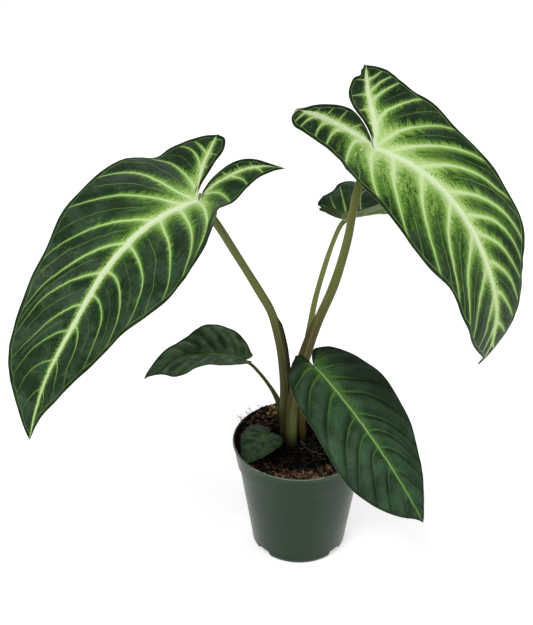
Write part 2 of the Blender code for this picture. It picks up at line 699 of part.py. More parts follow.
def pot_profile():
    """Radius and height round the pot's wall, from the underside out, up and in again."""
    foot = collar_foot()
    lip = RIM_RADIUS - RIM_THICKNESS
    corner = []
    for angle in (25, 50, 75):
        turn = math.radians(angle)
        corner.append((FOOT_RADIUS + (CORNER_RADIUS - FOOT_RADIUS) * math.sin(turn),
                       CORNER_HEIGHT * (1 - math.cos(turn))))
    return [(0, 0), (PAD_RADIUS, 0), (PAD_RADIUS + 2, CHANNEL_DEPTH),
            (CHANNEL_OUTER, CHANNEL_DEPTH), (CHANNEL_OUTER + 1.5, 0), (FOOT_RADIUS, 0),
            *corner, (CORNER_RADIUS, CORNER_HEIGHT), (wall_radius(foot - 0.8), foot - 0.8),
            (COLLAR_FOOT_RADIUS - 0.6, foot), (COLLAR_FOOT_RADIUS, foot + 0.8),
            (RIM_RADIUS - 1.0, POT_HEIGHT - 3.2), (RIM_RADIUS, POT_HEIGHT - 2.4),
            (RIM_RADIUS, POT_HEIGHT - 0.6), (RIM_RADIUS - 0.6, POT_HEIGHT),
            (lip + 0.5, POT_HEIGHT), (lip, POT_HEIGHT - 0.6), (lip - 0.2, POT_HEIGHT - 3.0),
            (COLLAR_FOOT_RADIUS - WALL, foot + 1.2), (wall_radius(foot - 2) - WALL, foot - 2),
            (wall_radius(FLOOR_TOP + 4) - WALL, FLOOR_TOP + 4),
            (wall_radius(FLOOR_TOP + 4) - WALL - 3, FLOOR_TOP), (0, FLOOR_TOP)]


def turned(profile, segments):
    """Points and faces of a profile turned about Z, its two ends on the axis."""
    points = [(0, 0, profile[0][1]), (0, 0, profile[-1][1])]
    rings = []
    for radius, z in profile[1:-1]:
        first = len(points)
        for k in range(segments):
            angle = 2 * math.pi * k / segments
            points.append((radius * math.cos(angle), radius * math.sin(angle), z))
        rings.append(first)
    faces = []
    for k in range(segments):
        n = (k + 1) % segments
        faces.append((0, rings[0] + n, rings[0] + k))
        faces.append((1, rings[-1] + k, rings[-1] + n))
        for low, high in zip(rings[:-1], rings[1:]):
            faces.append((low + k, low + n, high + n, high + k))
    return points, faces


def box(centre_radius, depth, width, low, high, angle):
    """A box standing out along a radius, at an angle round from the front."""
    turn = math.radians(angle - 90.0)
    out = np.array([math.cos(turn), math.sin(turn)])
    along = np.array([-out[1], out[0]])
    points = []
    for z in (low, high):
        for u, v in ((-1, -1), (1, -1), (1, 1), (-1, 1)):
            flat = out * (centre_radius + u * depth / 2) + along * v * width / 2
            points.append((flat[0], flat[1], z))
    faces = [(3, 2, 1, 0), (4, 5, 6, 7), (0, 1, 5, 4), (1, 2, 6, 5), (2, 3, 7, 6), (3, 0, 4, 7)]
    return points, faces


def build_pot():
    pot = mesh_object("pot", *turned(pot_profile(), POT_SEGMENTS),
                      principled("pot", POT_GREEN, 0.42), crease=35.0)
    cuts = cutter_collection("pot_cuts")
    drain_depth = DRAIN_RADII[1] - DRAIN_RADII[0]
    for angle in NOTCH_ANGLES:
        notch = box(CHANNEL_OUTER + 8.0, 16.4, NOTCH_WIDTH, -5.0, CHANNEL_DEPTH - 0.2, angle)
        cutter("notch_%d" % angle, *notch, cuts)
        drain = box(sum(DRAIN_RADII) / 2, drain_depth, DRAIN_WIDTH, -4.0, FLOOR_TOP + 2, angle)
        cutter("drain_%d" % angle, *drain, cuts)
    subtract(pot, cuts)
    return pot


def soil_lumps():
    """Places, sizes and heights of the lumps in the soil's surface."""
    rng = np.random.default_rng(LUMP_SEED)
    reach = 66.0 * np.sqrt(rng.random(LUMP_COUNT))
    angle = rng.random(LUMP_COUNT) * 2 * np.pi
    size = rng.uniform(3.5, 8.0, LUMP_COUNT)
    height = rng.uniform(-0.8, 2.0, LUMP_COUNT)
    return reach * np.cos(angle), reach * np.sin(angle), size, height


def soil_height(x, y, lumps):
    """The soil's surface: higher at the back left, level at the stalks, lumpy all over."""
    lump_x, lump_y, size, height = lumps
    reach = math.hypot(x, y)
    bank = 4.5 * math.exp(-((x + 42) ** 2 + (y - 42) ** 2) / (2 * 30.0 ** 2))
    lumps_here = float(np.sum(height * np.exp(-((x - lump_x) ** 2 + (y - lump_y) ** 2)
                                              / (2 * size ** 2))))
    edge = SOIL_LEVEL + (SOIL_EDGE_LEVEL - SOIL_LEVEL) * (reach / 70.0) ** 2
    return min(edge + bank + lumps_here, STALK_COLLAR - 0.6)


def soil_radius(z):
    """The pot's inside less the clearance."""
    foot = collar_foot()
    if z <= foot - 2:
        return wall_radius(z) - WALL - GAP
    share = (z - foot - 1.2) / (COLLAR_HEIGHT - 1.2)
    inside = COLLAR_FOOT_RADIUS - WALL
    return inside + (RIM_RADIUS - RIM_THICKNESS - 0.2 - inside) * share - GAP


def build_soil(leaves):
    lumps = soil_lumps()
    foot = collar_foot()
    low = FLOOR_TOP + GAP
    bottom = [(0, low), (soil_radius(FLOOR_TOP + 4) - 4.0, low),
              (soil_radius(FLOOR_TOP + 4) - 0.2, FLOOR_TOP + 4.6),
              (soil_radius(foot - 2) - 0.2, foot - 2), (soil_radius(foot + 1.2) - 0.2, foot + 1.4)]
    points, faces = turned(bottom + [(0, SOIL_LEVEL)], SOIL_SIDES)
    points = points[:2 + SOIL_SIDES * (len(bottom) - 1)]
    faces = [f for f in faces if 1 not in f and max(f) < len(points)]
    last = len(points) - SOIL_SIDES
    points[1] = (0, 0, soil_height(0, 0, lumps))
    for ring in range(SOIL_RINGS, 0, -1):
        share = ring / SOIL_RINGS
        first = len(points)
        for k in range(SOIL_SIDES):
            angle = 2 * math.pi * k / SOIL_SIDES
            edge = soil_radius(SOIL_EDGE_LEVEL) - 0.4
            x, y = edge * share * math.cos(angle), edge * share * math.sin(angle)
            points.append((x, y, soil_height(x, y, lumps)))
        for k in range(SOIL_SIDES):
            n = (k + 1) % SOIL_SIDES
            faces.append((last + k, last + n, first + n))
            faces.append((last + k, first + n, first + k))
        last = first
    faces += [(last + k, last + (k + 1) % SOIL_SIDES, 1) for k in range(SOIL_SIDES)]
    soil = mesh_object("soil", points, faces, principled("soil", SOIL_BROWN, 0.95))
    holes = cutter_collection("stalk_holes")
    for leaf in leaves:
        hole_cutter(leaf.stalk, holes)
    subtract(soil, holes)
    return soil


def main():
    clear_scene()
    leaves = [left_leaf(), right_leaf(), rear_leaf(), front_leaf(), low_leaf(), small_leaf()]
    build_pot()
    build_soil(leaves)
    for leaf in leaves:
        build_stalk(leaf)
        build_blade(leaf)


main()
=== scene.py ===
"""Looks for the potted Xanthosoma lindenii: leaves with feathered veins, stalks, soil and pot.

Lengths are in millimetres until make_mesh() turns them into metres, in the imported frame:
+Z up, the front looks along -Y, the origin is the middle of the pot's underside.
"""

import math
from dataclasses import dataclass

import bpy
import bmesh
import numpy as np
from mathutils import Matrix, Vector


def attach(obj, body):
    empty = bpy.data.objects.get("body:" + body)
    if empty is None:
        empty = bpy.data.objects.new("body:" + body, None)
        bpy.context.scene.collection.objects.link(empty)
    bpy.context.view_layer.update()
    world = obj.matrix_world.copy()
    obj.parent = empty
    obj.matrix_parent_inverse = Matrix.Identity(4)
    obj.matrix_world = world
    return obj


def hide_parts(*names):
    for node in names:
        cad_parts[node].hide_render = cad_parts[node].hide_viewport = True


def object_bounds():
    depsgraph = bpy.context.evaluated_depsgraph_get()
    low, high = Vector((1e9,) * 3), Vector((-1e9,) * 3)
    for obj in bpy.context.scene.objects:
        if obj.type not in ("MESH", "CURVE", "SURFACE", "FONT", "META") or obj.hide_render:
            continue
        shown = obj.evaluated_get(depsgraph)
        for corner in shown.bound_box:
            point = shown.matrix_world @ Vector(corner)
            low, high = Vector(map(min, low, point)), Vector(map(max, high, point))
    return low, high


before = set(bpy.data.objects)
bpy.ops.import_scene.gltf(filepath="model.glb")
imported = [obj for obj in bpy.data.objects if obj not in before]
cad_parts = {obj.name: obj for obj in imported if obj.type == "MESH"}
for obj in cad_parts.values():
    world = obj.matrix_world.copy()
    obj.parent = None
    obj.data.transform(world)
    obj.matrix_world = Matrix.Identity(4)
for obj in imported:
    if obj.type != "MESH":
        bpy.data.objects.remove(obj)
CAD_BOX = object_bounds()

MM = 0.001

# Pot, as in the solid model but for its taller notches
POT_HEIGHT = 138.0
RIM_RADIUS = 76.0
RIM_THICKNESS = 2.2
COLLAR_HEIGHT = 29.0
COLLAR_FOOT_RADIUS = 71.0
STEP_HEIGHT = POT_HEIGHT - COLLAR_HEIGHT
LEDGE = 2.0
FOOT_RADIUS = 50.5
CORNER_RADIUS = 54.4
CORNER_HEIGHT = 8.0
WALL = 1.5
FLOOR_TOP = 4.6
CHANNEL_DEPTH = 2.8
PAD_RADIUS = 22.0
CHANNEL_OUTER = 44.5
NOTCH_ANGLES = (50.0, 130.0, 230.0, 310.0)
NOTCH_WIDTH = 17.0
NOTCH_HEIGHT = 7.6
DRAIN_WIDTH = 9.0
DRAIN_RADII = (39.0, 43.8)
POT_SEGMENTS = 192
RIM_HIGHLIGHT_HEIGHT = 0.9      # the rim's painted highlight band: this far down from the top
RIM_HIGHLIGHT_WIDTH = 1.9       # and this far in from the rim
SHADE_HEIGHT = 0.8     # the painted shade line, this far up and down from the step under the collar

# Soil
SOIL_LEVEL = 127.0
SOIL_EDGE_LEVEL = 125.5
SOIL_RADIUS = 71.7
BED_RINGS = 120
BED_SIDES = 260
LUMP_COUNT = 70
LUMP_SEED = 5
LUMP_REACH = 66.0
CRUMB_COUNT = 60
CRUMB_SEED = 12
BIT_SEED = 41
BIT_REACH = 68.0
FIBRE_REACH = 68.5
THREAD_SIDES = 5
FIBRE_STEP = 1.2
DAYLIGHT = (34.0, 60.0)    # from the middle: in shade up to the first, lit past the second

# Leaves
BLADE_THICKNESS = 0.6
ROW_SPACING = 1.7
COLUMN_COUNT = 62
INNER_COLUMN_COUNT = 20
INNER_VEIN_GAP = 17.0
CRUMPLE_SEED = 3
CRUMPLE_WAVES = 14
CRUMPLE_LENGTHS = (9.0, 26.0)
CRUMPLE_SCALE = 4.5
RIB_KNOTS = (0.0, 0.45, 0.8, 1.0)
STATION = 4.0          # steps along the midrib
JOIN_REACH = 14.0      # round the junction, where all ribs are one pale spot
COLLECTOR = 2.2        # side veins die down from twice this far from the margin to this far
HAND_OFFSET = 300.0    # keeps the patterns of a blade's halves apart
BOX_MARGIN = 0.01      # blades stay this far inside the solids' box
LEFT = 0
RIGHT = 1

# Stalks
STALK_SIDES = 40
STALK_RING_SPACING = 2.5
STALK_BURIED = 27.0    # length of a stalk up to the first place of its route
BURIED_HEIGHTS = (105.0, 118.0)
JUNCTION_CLEARANCE = 1.1    # how far a stalk's top stays under the blade's middle layer
NEAR_JUNCTION = (-20, 32)    # the stretch of the midrib that a stalk's top must stay under
JUNCTION_SPAN = 25           # and how near to it a point must be
TOP_TAPER = 0.45       # share of the radius left where a stalk ends under the midrib

# Stage, in metres
WORLD_STRENGTH = 0.34
FLOOR_GLOW = 0.42
FLOOR_REACH = 30.0
LIGHT_TARGET = (0.0, 0.0, 0.25)
LIGHTS = (
    ("key", (-0.7, -1.3, 2.4), (1.3, 1.1), 44.0),
    ("fill", (1.9, -0.9, 1.3), (1.2, 1.4), 12.0),
    ("back", (0.3, 1.9, 2.1), (1.8, 1.2), 18.0))
CAMERA_PLACE = (-0.0377, -1.1894, 1.0112)
CAMERA_PITCH = 30.75   # degrees below level
CAMERA_VIEW = 27.0     # degrees from the picture's top to its bottom
SENSOR_HEIGHT = 36.0

# Colours, linear
DARK = (0.0130, 0.0340, 0.0120)
DARKER = (0.0100, 0.0280, 0.0090)
# the skin's own deepest green, also used for painted shade
DEEP = (0.0040, 0.0125, 0.0040)
# lighter skin of the left and rear leaves: partly their own tone, partly painted bluish sheen
BLUISH_SHEEN = (0.031, 0.064, 0.031)
DIM_GREEN = (0.026, 0.052, 0.026)
# lighter skin of the front leaf: partly its own tone, partly painted sheen
GLOSSY_SHEEN = (0.0310, 0.0750, 0.0310)
GLOSSY_DARK = (0.0095, 0.0300, 0.0105)
MID_GREEN = (0.062, 0.145, 0.020)
LIME = (0.200, 0.350, 0.062)
PALE_LIME = (0.42, 0.58, 0.22)
VEIN = (0.53, 0.68, 0.34)
VEIN_END = (0.27, 0.42, 0.13)
PALE = (0.62, 0.73, 0.47)
PLAIN_DARK = (0.0200, 0.0520, 0.0180)
PLAIN_LIGHT = (0.102, 0.188, 0.084)
YOUNG_LIGHT = (0.030, 0.078, 0.022)
UNDER = (0.100, 0.150, 0.045)
UNDER_DARK = (0.058, 0.095, 0.030)
UNDER_RIB = (0.30, 0.36, 0.13)
STALK_LINE = (0.16, 0.18, 0.055)
STALK_STREAK = (0.022, 0.018, 0.004)
STALK_BLOTCH = (0.045, 0.032, 0.008)
STALK_DOT = (0.040, 0.034, 0.008)
STALK_PALE_DOT = (0.19, 0.20, 0.085)
SHEATH_LIP = (0.170, 0.165, 0.075)
# painted shade at a stalk's foot, where it goes into the soil
STALK_FOOT_SHADE = (0.0050, 0.0050, 0.0012)
POT_DARK = (0.0100, 0.0255, 0.0105)
POT_LIGHT = (0.0140, 0.0350, 0.0150)
POT_SCUFF = (0.050, 0.080, 0.054)
# painted highlight along the rim's top edge
POT_RIM_HIGHLIGHT = (0.20, 0.27, 0.20)
POT_SHADE = (0.003, 0.008, 0.003)
POT_TINT = (0.78, 1.0, 0.84)
SOIL_DARK = (0.0030, 0.0024, 0.0020)
SOIL_LIGHT = (0.0090, 0.0055, 0.0040)
SOIL_CRUMB = (0.020, 0.011, 0.007)
SOIL_GRAIN = (0.070, 0.040, 0.025)
SOIL_SHADE = (0.0010, 0.0009, 0.0006)
WHITE = (1.0, 1.0, 1.0)
FLOOR_WHITE = (0.92, 0.92, 0.92)


@dataclass
class Side:
    """Half a blade laid flat: x outwards from the midrib, y from the junction to the tip."""
    fold: float                     # degrees up from level at the junction
    curl: float                     # more of it for every 100 mm outwards
    fold_change: float              # more of it at the tip
    rib: list                       # the lobe's rib, from the junction
    inner: list                     # the lobe's edge along the sinus
    outer: list                     # the margin from the lobe's end to the tip
    veins: list                     # (start along the ribs, points on the way, y at the margin)
    thin: tuple = ()                # (number of the vein before it, share where it ends, strength)
    spread: tuple = (0.05, 0.62)    # shares of the way out between which the wash dies down
    widen: float = 1.0              # how much wider the midrib's pale band is on this half
    lobe_fold: float = 0.0          # how much steeper the half is at its lobe's end
    dusk: float = 0.0               # how much painted shade darkens the skin towards the margin


@dataclass
class Look:
    """What a blade's veins and skin look like; widths are half widths in millimetres."""
    rib_core: tuple                 # midrib's pale line at RIB_KNOTS of the way to the tip
    lobe_core: tuple                # the same for a lobe's rib, junction and end
    vein_core: tuple                # the same for a side vein, start and margin
    rib_halo: tuple                 # how far the glow reaches beyond the midrib's line
    vein_halo: tuple
    flush: float                    # how much wider the glow is at the junction
    flush_reach: float
    tip_fade: float                 # how much narrower the side veins are at the tip
    wash: float                     # pale green between the veins round the junction
    power: float                    # strength of the glow
    line: float                     # strength of the side veins' pale line
    rib_line: float                 # strength of the midrib's pale line
    net: float                      # strength of the fine veins and the net
    relief: float                   # depth of the veins in the upper face
    quilt: float                    # swelling between the veins
    crumple: float                  # uneven dents all over
    dark: tuple                     # the skin's two colours; on the left, rear and front leaves the lighter one is partly painted sheen
    light: tuple
    vein: tuple                     # colours of the side veins' line, start and margin
    vein_end: tuple
    rib: tuple
    rough: float                    # roughness of the upper face
    shine: float                    # its specular level
    furrow: float = 0.0             # small folds that run along the side veins
    lobe_shade: float = 0.0          # how much painted shade darkens the lobes at their ends
    lobe_fade: float = 0.45         # how much narrower the glow is at the lobes' ends
    valley: float = 0.0             # how dark the painted shade is in the folds on one side of each side vein
    speckle: float = 0.22           # how broken up the pale green between the veins is
    rib_end: float = 0.5            # share of the midrib's strength left at the tip


@dataclass
class Stalk:
    """A stalk with its sheath: a route, the radius along it and a wing on one side."""
    name: str
    foot: tuple
    route: list
    radii: list
    wing: list                      # the wing's width at shares of the way up
    wing_heading: float


@dataclass
class Leaf:
    """How a blade is held, as in the solid model, and its halves, look and stalk."""
    name: str
    slot: str
    junction: tuple                 # where the stalk meets the blade
    heading: float                  # of the midrib at the junction, in degrees from +X
    pitch: float
    length: float                   # how much of the midrib bends; past it the tip is straight
    droop: float                    # degrees that the midrib bends down in all
    turn: float                     # and sideways
    lobe_reach: float               # the same two for the part behind the junction
    lobe_rise: float
    ridge: float                    # how far the midrib stands out below
    wave: float                     # height and number of the margin's waves
    waves: int
    look: Look
    sides: tuple                    # the LEFT and the RIGHT half
    stalk: Stalk
    roll: float = 0.0
    lag: float = 1.0                # over 1, the droop comes nearer the tip
    twist: float = 0.0              # degrees about the midrib, junction to tip
    sway: tuple = (0, 0)            # the midrib's offsets to the side at even steps

    @property
    def tip(self):
        return self.sides[LEFT].outer[-1][1]


BRIGHT = Look(rib_core=(4.9, 3.2, 1.0, 0.38), lobe_core=(2.1, 0.7), vein_core=(1.8, 0.34),
              rib_halo=(7.9, 1.9), vein_halo=(7.2, 1.7), flush=1.25, flush_reach=72,
              tip_fade=0.93, wash=1.05, power=1.0, line=0.95, rib_line=0.97, net=0.55,
              relief=0.5, quilt=1.2, crumple=0.25, dark=DARKER, light=BLUISH_SHEEN, vein=VEIN,
              vein_end=VEIN_END, rib=PALE, rough=0.40, shine=0.08, furrow=0.10,
              lobe_fade=0.72)
BRIGHTEST = Look(rib_core=(4.6, 3.2, 1.6, 0.4), lobe_core=(4.2, 1.9), vein_core=(3.0, 0.48),
                 rib_halo=(15.0, 4.6), vein_halo=(11.5, 2.8), flush=0.5, flush_reach=110,
                 tip_fade=0.42, wash=1.28, power=1.15, line=0.94, rib_line=0.97, net=0.75,
                 relief=0.5, quilt=1.2, crumple=0.25, dark=DARKER, light=DIM_GREEN, vein=VEIN,
                 vein_end=(0.32, 0.45, 0.19), rib=PALE, rough=0.42, shine=0.07, furrow=0.10,
                 lobe_fade=0.93, speckle=0.45, rib_end=0.12)
SOFT = Look(rib_core=(1.6, 1.2, 0.8, 0.5), lobe_core=(1.2, 0.6), vein_core=(0.75, 0.3),
            rib_halo=(3.0, 1.2), vein_halo=(2.0, 0.8), flush=0.5, flush_reach=30, tip_fade=0.4,
            wash=0.15, power=0.7, line=0.70, rib_line=0.70, net=0.3, relief=0.5, quilt=1.4,
            crumple=0.3, dark=DARK, light=BLUISH_SHEEN, vein=PALE_LIME, vein_end=VEIN_END,
            rib=PALE_LIME, rough=0.42, shine=0.12, lobe_shade=0.8)
QUIET = Look(rib_core=(1.18, 0.92, 0.62, 0.35), lobe_core=(0.10, 0.05), vein_core=(0.55, 0.20),
             rib_halo=(12.0, 2.0), vein_halo=(2.8, 0.7), flush=0.3, flush_reach=60,
             tip_fade=0.5, wash=0.12, power=0.30, line=0.50, rib_line=0.66, net=0.05,
             relief=0.9, quilt=5.0, crumple=0.35, dark=GLOSSY_DARK, light=GLOSSY_SHEEN,
             vein=(0.095, 0.215, 0.055), vein_end=(0.020, 0.060, 0.018),
             rib=(0.36, 0.48, 0.21), rough=0.50, shine=0.15, furrow=0.14, lobe_shade=0.85,
             valley=0.55)
PLAIN = Look(rib_core=(0.55, 0.4, 0.3, 0.25), lobe_core=(0.4, 0.3), vein_core=(0.35, 0.2),
             rib_halo=(2.5, 0.8), vein_halo=(1.6, 0.6), flush=0.5, flush_reach=18,
             tip_fade=0.4, wash=0.15, power=0.22, line=0.40, rib_line=0.50, net=0.05,
             relief=0.8, quilt=3.4, crumple=0.4, dark=PLAIN_DARK, light=PLAIN_LIGHT,
             vein=(0.060, 0.115, 0.040), vein_end=(0.032, 0.068, 0.026),
             rib=(0.11, 0.18, 0.05), rough=0.42, shine=0.18, furrow=0.30, lobe_shade=0.3,
             valley=0.45)
YOUNG = Look(rib_core=(0.45, 0.3, 0.22, 0.2), lobe_core=(0.3, 0.2), vein_core=(0.35, 0.2),
             rib_halo=(3.0, 0.6), vein_halo=(1.8, 0.5), flush=0.8, flush_reach=14,
             tip_fade=0.5, wash=0.45, power=0.08, line=0.12, rib_line=0.10, net=0.05,
             relief=0.5, quilt=1.8, crumple=1.2, dark=GLOSSY_DARK, light=YOUNG_LIGHT,
             vein=(0.040, 0.085, 0.026), vein_end=(0.020, 0.045, 0.015),
             rib=(0.08, 0.15, 0.04), rough=0.46, shine=0.14, furrow=0.45, lobe_shade=0.3,
             valley=0.5)


def left_leaf():
    """The big leaf that hangs to the left."""
    back = Side(
        fold=13, curl=0, fold_change=-2,
        rib=[(0, 0), (9, -5), (21, -21), (30, -38), (33, -57), (31, -79)],
        inner=[(0, 0), (11, -9), (18, -24), (21, -48), (18, -66), (21, -78), (31, -79)],
        outer=[(31, -79), (46, -72), (62, -58), (75, -38), (80, -17), (87, 3), (92, 18), (91, 45),
               (83, 76), (76, 110), (67, 143), (62, 175), (58, 203), (50, 228), (37, 254),
               (22, 277), (8, 297), (0, 307)],
        veins=[(-66, [(46, -60)], -63), (-44, [(42, -46), (56, -51)], -46),
               (-11, [(20, -12), (42, -19), (64, -19)], -3),
               (3, [(24, 9), (46, 12), (66, 19), (78, 32)], 56),
               (16, [(12, 23), (30, 34), (50, 52), (66, 77)], 98),
               (52, [(15, 65), (30, 82), (44, 103), (58, 132)], 156),
               (89, [(12, 101), (24, 118), (39, 147), (50, 170)], 205),
               (128, [(15, 141), (30, 158), (42, 178), (47, 200)], 228),
               (164, [(10, 172), (23, 191), (33, 217)], 244),
               (192, [(12, 201), (23, 218), (29, 234)], 258),
               (223, [(12, 233), (20, 247)], 272), (252, [(8, 263)], 286)],
        thin=[(1, 0.9, 0.5), (2, 1.0, 0.8), (3, 0.9, 0.9), (4, 1.0, 0.8), (5, 0.9, 0.9),
              (6, 1.0, 0.7), (7, 0.8, 0.6), (8, 0.8, 0.5)])
    front = Side(
        fold=13, curl=-12, fold_change=-4,
        rib=[(0, 0), (-9, -9), (-11, -22), (-4, -37), (13, -52), (42, -66), (70, -73)],
        inner=[(0, 0), (-14, -16), (-21, -34), (-13, -50), (4, -62), (30, -70), (70, -73)],
        outer=[(70, -73), (56, -63), (43, -50), (37, -31), (38, -10), (41, 10), (59, 33), (77, 55),
               (88, 80), (92, 103), (88, 126), (77, 149), (63, 173), (50, 201), (37, 230),
               (24, 256), (9, 280), (0, 307)],
        veins=[(-88, [(40, -61)], -58), (-52, [(14, -44), (25, -44)], -39),
               (-15, [(-4, -16), (8, -20), (22, -17)], -10),
               (3, [(19, 11), (40, 24), (61, 41), (76, 62)], 92),
               (24, [(22, 35), (43, 46), (62, 60), (77, 78)], 108),
               (47, [(20, 60), (45, 75), (66, 95), (80, 116)], 136),
               (91, [(20, 99), (40, 111), (54, 125), (62, 148)], 174),
               (126, [(18, 129), (34, 140), (46, 158), (50, 178)], 202),
               (152, [(17, 157), (30, 170), (35, 190), (38, 210)], 228),
               (186, [(10, 191), (18, 206), (21, 228)], 246),
               (222, [(8, 229), (14, 246)], 266), (252, [(6, 263)], 286)],
        thin=[(3, 0.8, 0.4), (5, 1.0, 0.9), (6, 0.7, 0.5), (7, 0.8, 0.5), (8, 0.7, 0.4)],
        spread=(0.02, 0.50), widen=1.5)
    stalk = Stalk(
        "stalk_left", foot=(-17, 14),
        route=[(-17, 14, 132), (-17, 12, 165), (-18, 9, 212), (-23, 4, 260), (-32, 0, 302),
               (-46, -5, 334), (-69, -11, 380), (-89, -18, 420), (-103, -22, 443)],
        radii=[6.0, 5.8, 5.4, 5.0, 4.6, 4.4, 4.2, 4.2, 4.0],
        wing=[(0, 0.6), (0.12, 1.6), (0.25, 2.8), (0.38, 3.6), (0.47, 2.8), (0.50, 0)],
        wing_heading=-10)
    return Leaf("leaf_left", "leaf", junction=(-104.6, -23, 446.5), heading=225, pitch=0,
                length=307, droop=74, turn=7, twist=-8, lobe_reach=84, lobe_rise=76,
                sway=(0, 6, 3.5, -2, 2, 3.5), ridge=3.0, wave=1.6, waves=5, look=BRIGHT,
                sides=(front, back), stalk=stalk)


def right_leaf():
    """The big, high leaf that arches over to the right."""
    upper = Side(
        fold=13, curl=0, fold_change=-9,
        rib=[(0, 0), (8, -4), (21, -13), (32, -26), (40, -43), (46, -62), (49, -84)],
        inner=[(0, 0), (12, -12), (19, -28), (19, -50), (20, -61), (24, -69), (31, -76),
               (40, -75.5), (41.5, -81), (49, -84)],
        outer=[(49, -84), (62, -76), (75, -63), (83, -46), (88, -25), (86, -3), (80, 22), (70, 48),
               (65, 75), (65, 105), (64, 130), (61, 155), (52, 177), (43, 201), (33, 228),
               (25, 250), (14, 267), (5, 279), (0, 287)],
        veins=[(-84, [(56, -64)], -66), (-69, [(54, -52), (66, -53)], -50),
               (-58, [(55, -41), (67, -40)], -36), (-29, [(44, -19), (57, -15), (69, -8)], 8),
               (1, [(12, 3), (33, 9), (49, 21), (61, 34)], 50),
               (13, [(13, 22), (29, 37), (46, 57), (56, 74)], 94),
               (46, [(10, 53), (29, 69), (45, 91), (55, 115)], 132),
               (83, [(14, 93), (30, 108), (45, 131), (53, 156)], 172),
               (113, [(12, 119), (31, 135), (43, 160)], 188),
               (131, [(9, 138), (25, 157), (35, 182)], 204),
               (163, [(10, 169), (24, 189), (31, 212)], 226), (196, [(9, 202), (18, 218)], 240),
               (230, [(10, 240)], 256), (256, [(4, 263)], 272)],
        thin=[(2, 0.9, 0.5), (3, 1.0, 0.7), (4, 0.8, 0.5), (5, 0.9, 0.6), (6, 1.0, 0.9),
              (7, 0.8, 0.6), (10, 0.8, 0.5)],
        spread=(0.0, 0.70))
    lower = Side(
        fold=7, curl=-15, fold_change=-8,
        rib=[(0, 0), (-5, -8), (-3, -20), (8, -40), (31, -63), (60, -84)],
        inner=[(0, 0), (-16, -14), (-26, -28), (-25, -42), (-12, -53), (8, -64), (34, -76),
               (60, -84)],
        outer=[(60, -84), (71, -82), (70, -71), (61, -60), (51, -46), (43, -31), (43, -14), (53, 2),
               (62, 22), (68, 45), (76, 72), (78, 98), (75, 118), (70, 141), (60, 163), (55, 180),
               (53, 196), (48, 214), (41, 236), (28, 254), (13, 270), (6, 277), (5.5, 280),
               (10, 283.5), (7, 286.5), (0, 287)],
        veins=[(-92, [(54, -76)], -74), (-70, [(39, -65), (50, -67)], -66),
               (-53, [(26, -52), (38, -52)], -46), (-39, [(19, -39), (30, -38)], -33),
               (-9, [(0, -14), (10, -18), (28, -13)], -3),
               (1, [(19, 8), (38, 20), (52, 31)], 50),
               (20, [(17, 31), (36, 43), (54, 61), (68, 80)], 100),
               (53, [(14, 62), (36, 80), (53, 106), (61, 128)], 150),
               (92, [(16, 103), (33, 119), (43, 142), (49, 170)], 192),
               (129, [(15, 143), (31, 162), (40, 188)], 220),
               (167, [(14, 179), (28, 198), (36, 219)], 238),
               (197, [(13, 218), (18, 234)], 254), (232, [(8, 246)], 268)],
        thin=[(3, 0.9, 0.5), (4, 1.0, 0.8), (5, 0.9, 0.8), (6, 1.0, 0.9), (7, 1.0, 0.9),
              (8, 1.0, 0.9), (9, 0.8, 0.7), (10, 0.8, 0.5)],
        spread=(0.30, 1.30), widen=1.3)
    stalk = Stalk(
        "stalk_right", foot=(-9, 4),
        route=[(-9, 4, 132), (-8, 4, 165), (-1, 2, 218), (8, 2, 258), (17, 1, 291),
               (33, 0, 337), (45, -2, 389), (53, -4, 445), (65, -4, 487)],
        radii=[5.8, 5.5, 5.4, 5.3, 5.0, 4.7, 4.4, 4.3, 4.2],
        wing=[(0, 2.4), (0.10, 3.0), (0.20, 4.2), (0.28, 4.8), (0.35, 4.0), (0.42, 2.0),
              (0.48, 0)],
        wing_heading=195)
    return Leaf("leaf_right", "leaf", junction=(67.7, -5, 495), heading=-34, pitch=-11, roll=8,
                length=278, droop=100, lag=1.2, turn=-11, lobe_reach=88, lobe_rise=88,
                sway=(0, -6.5, -5, -2.5, -6, -9), ridge=3.0, wave=1.4, waves=5, look=BRIGHTEST,
                sides=(upper, lower), stalk=stalk)


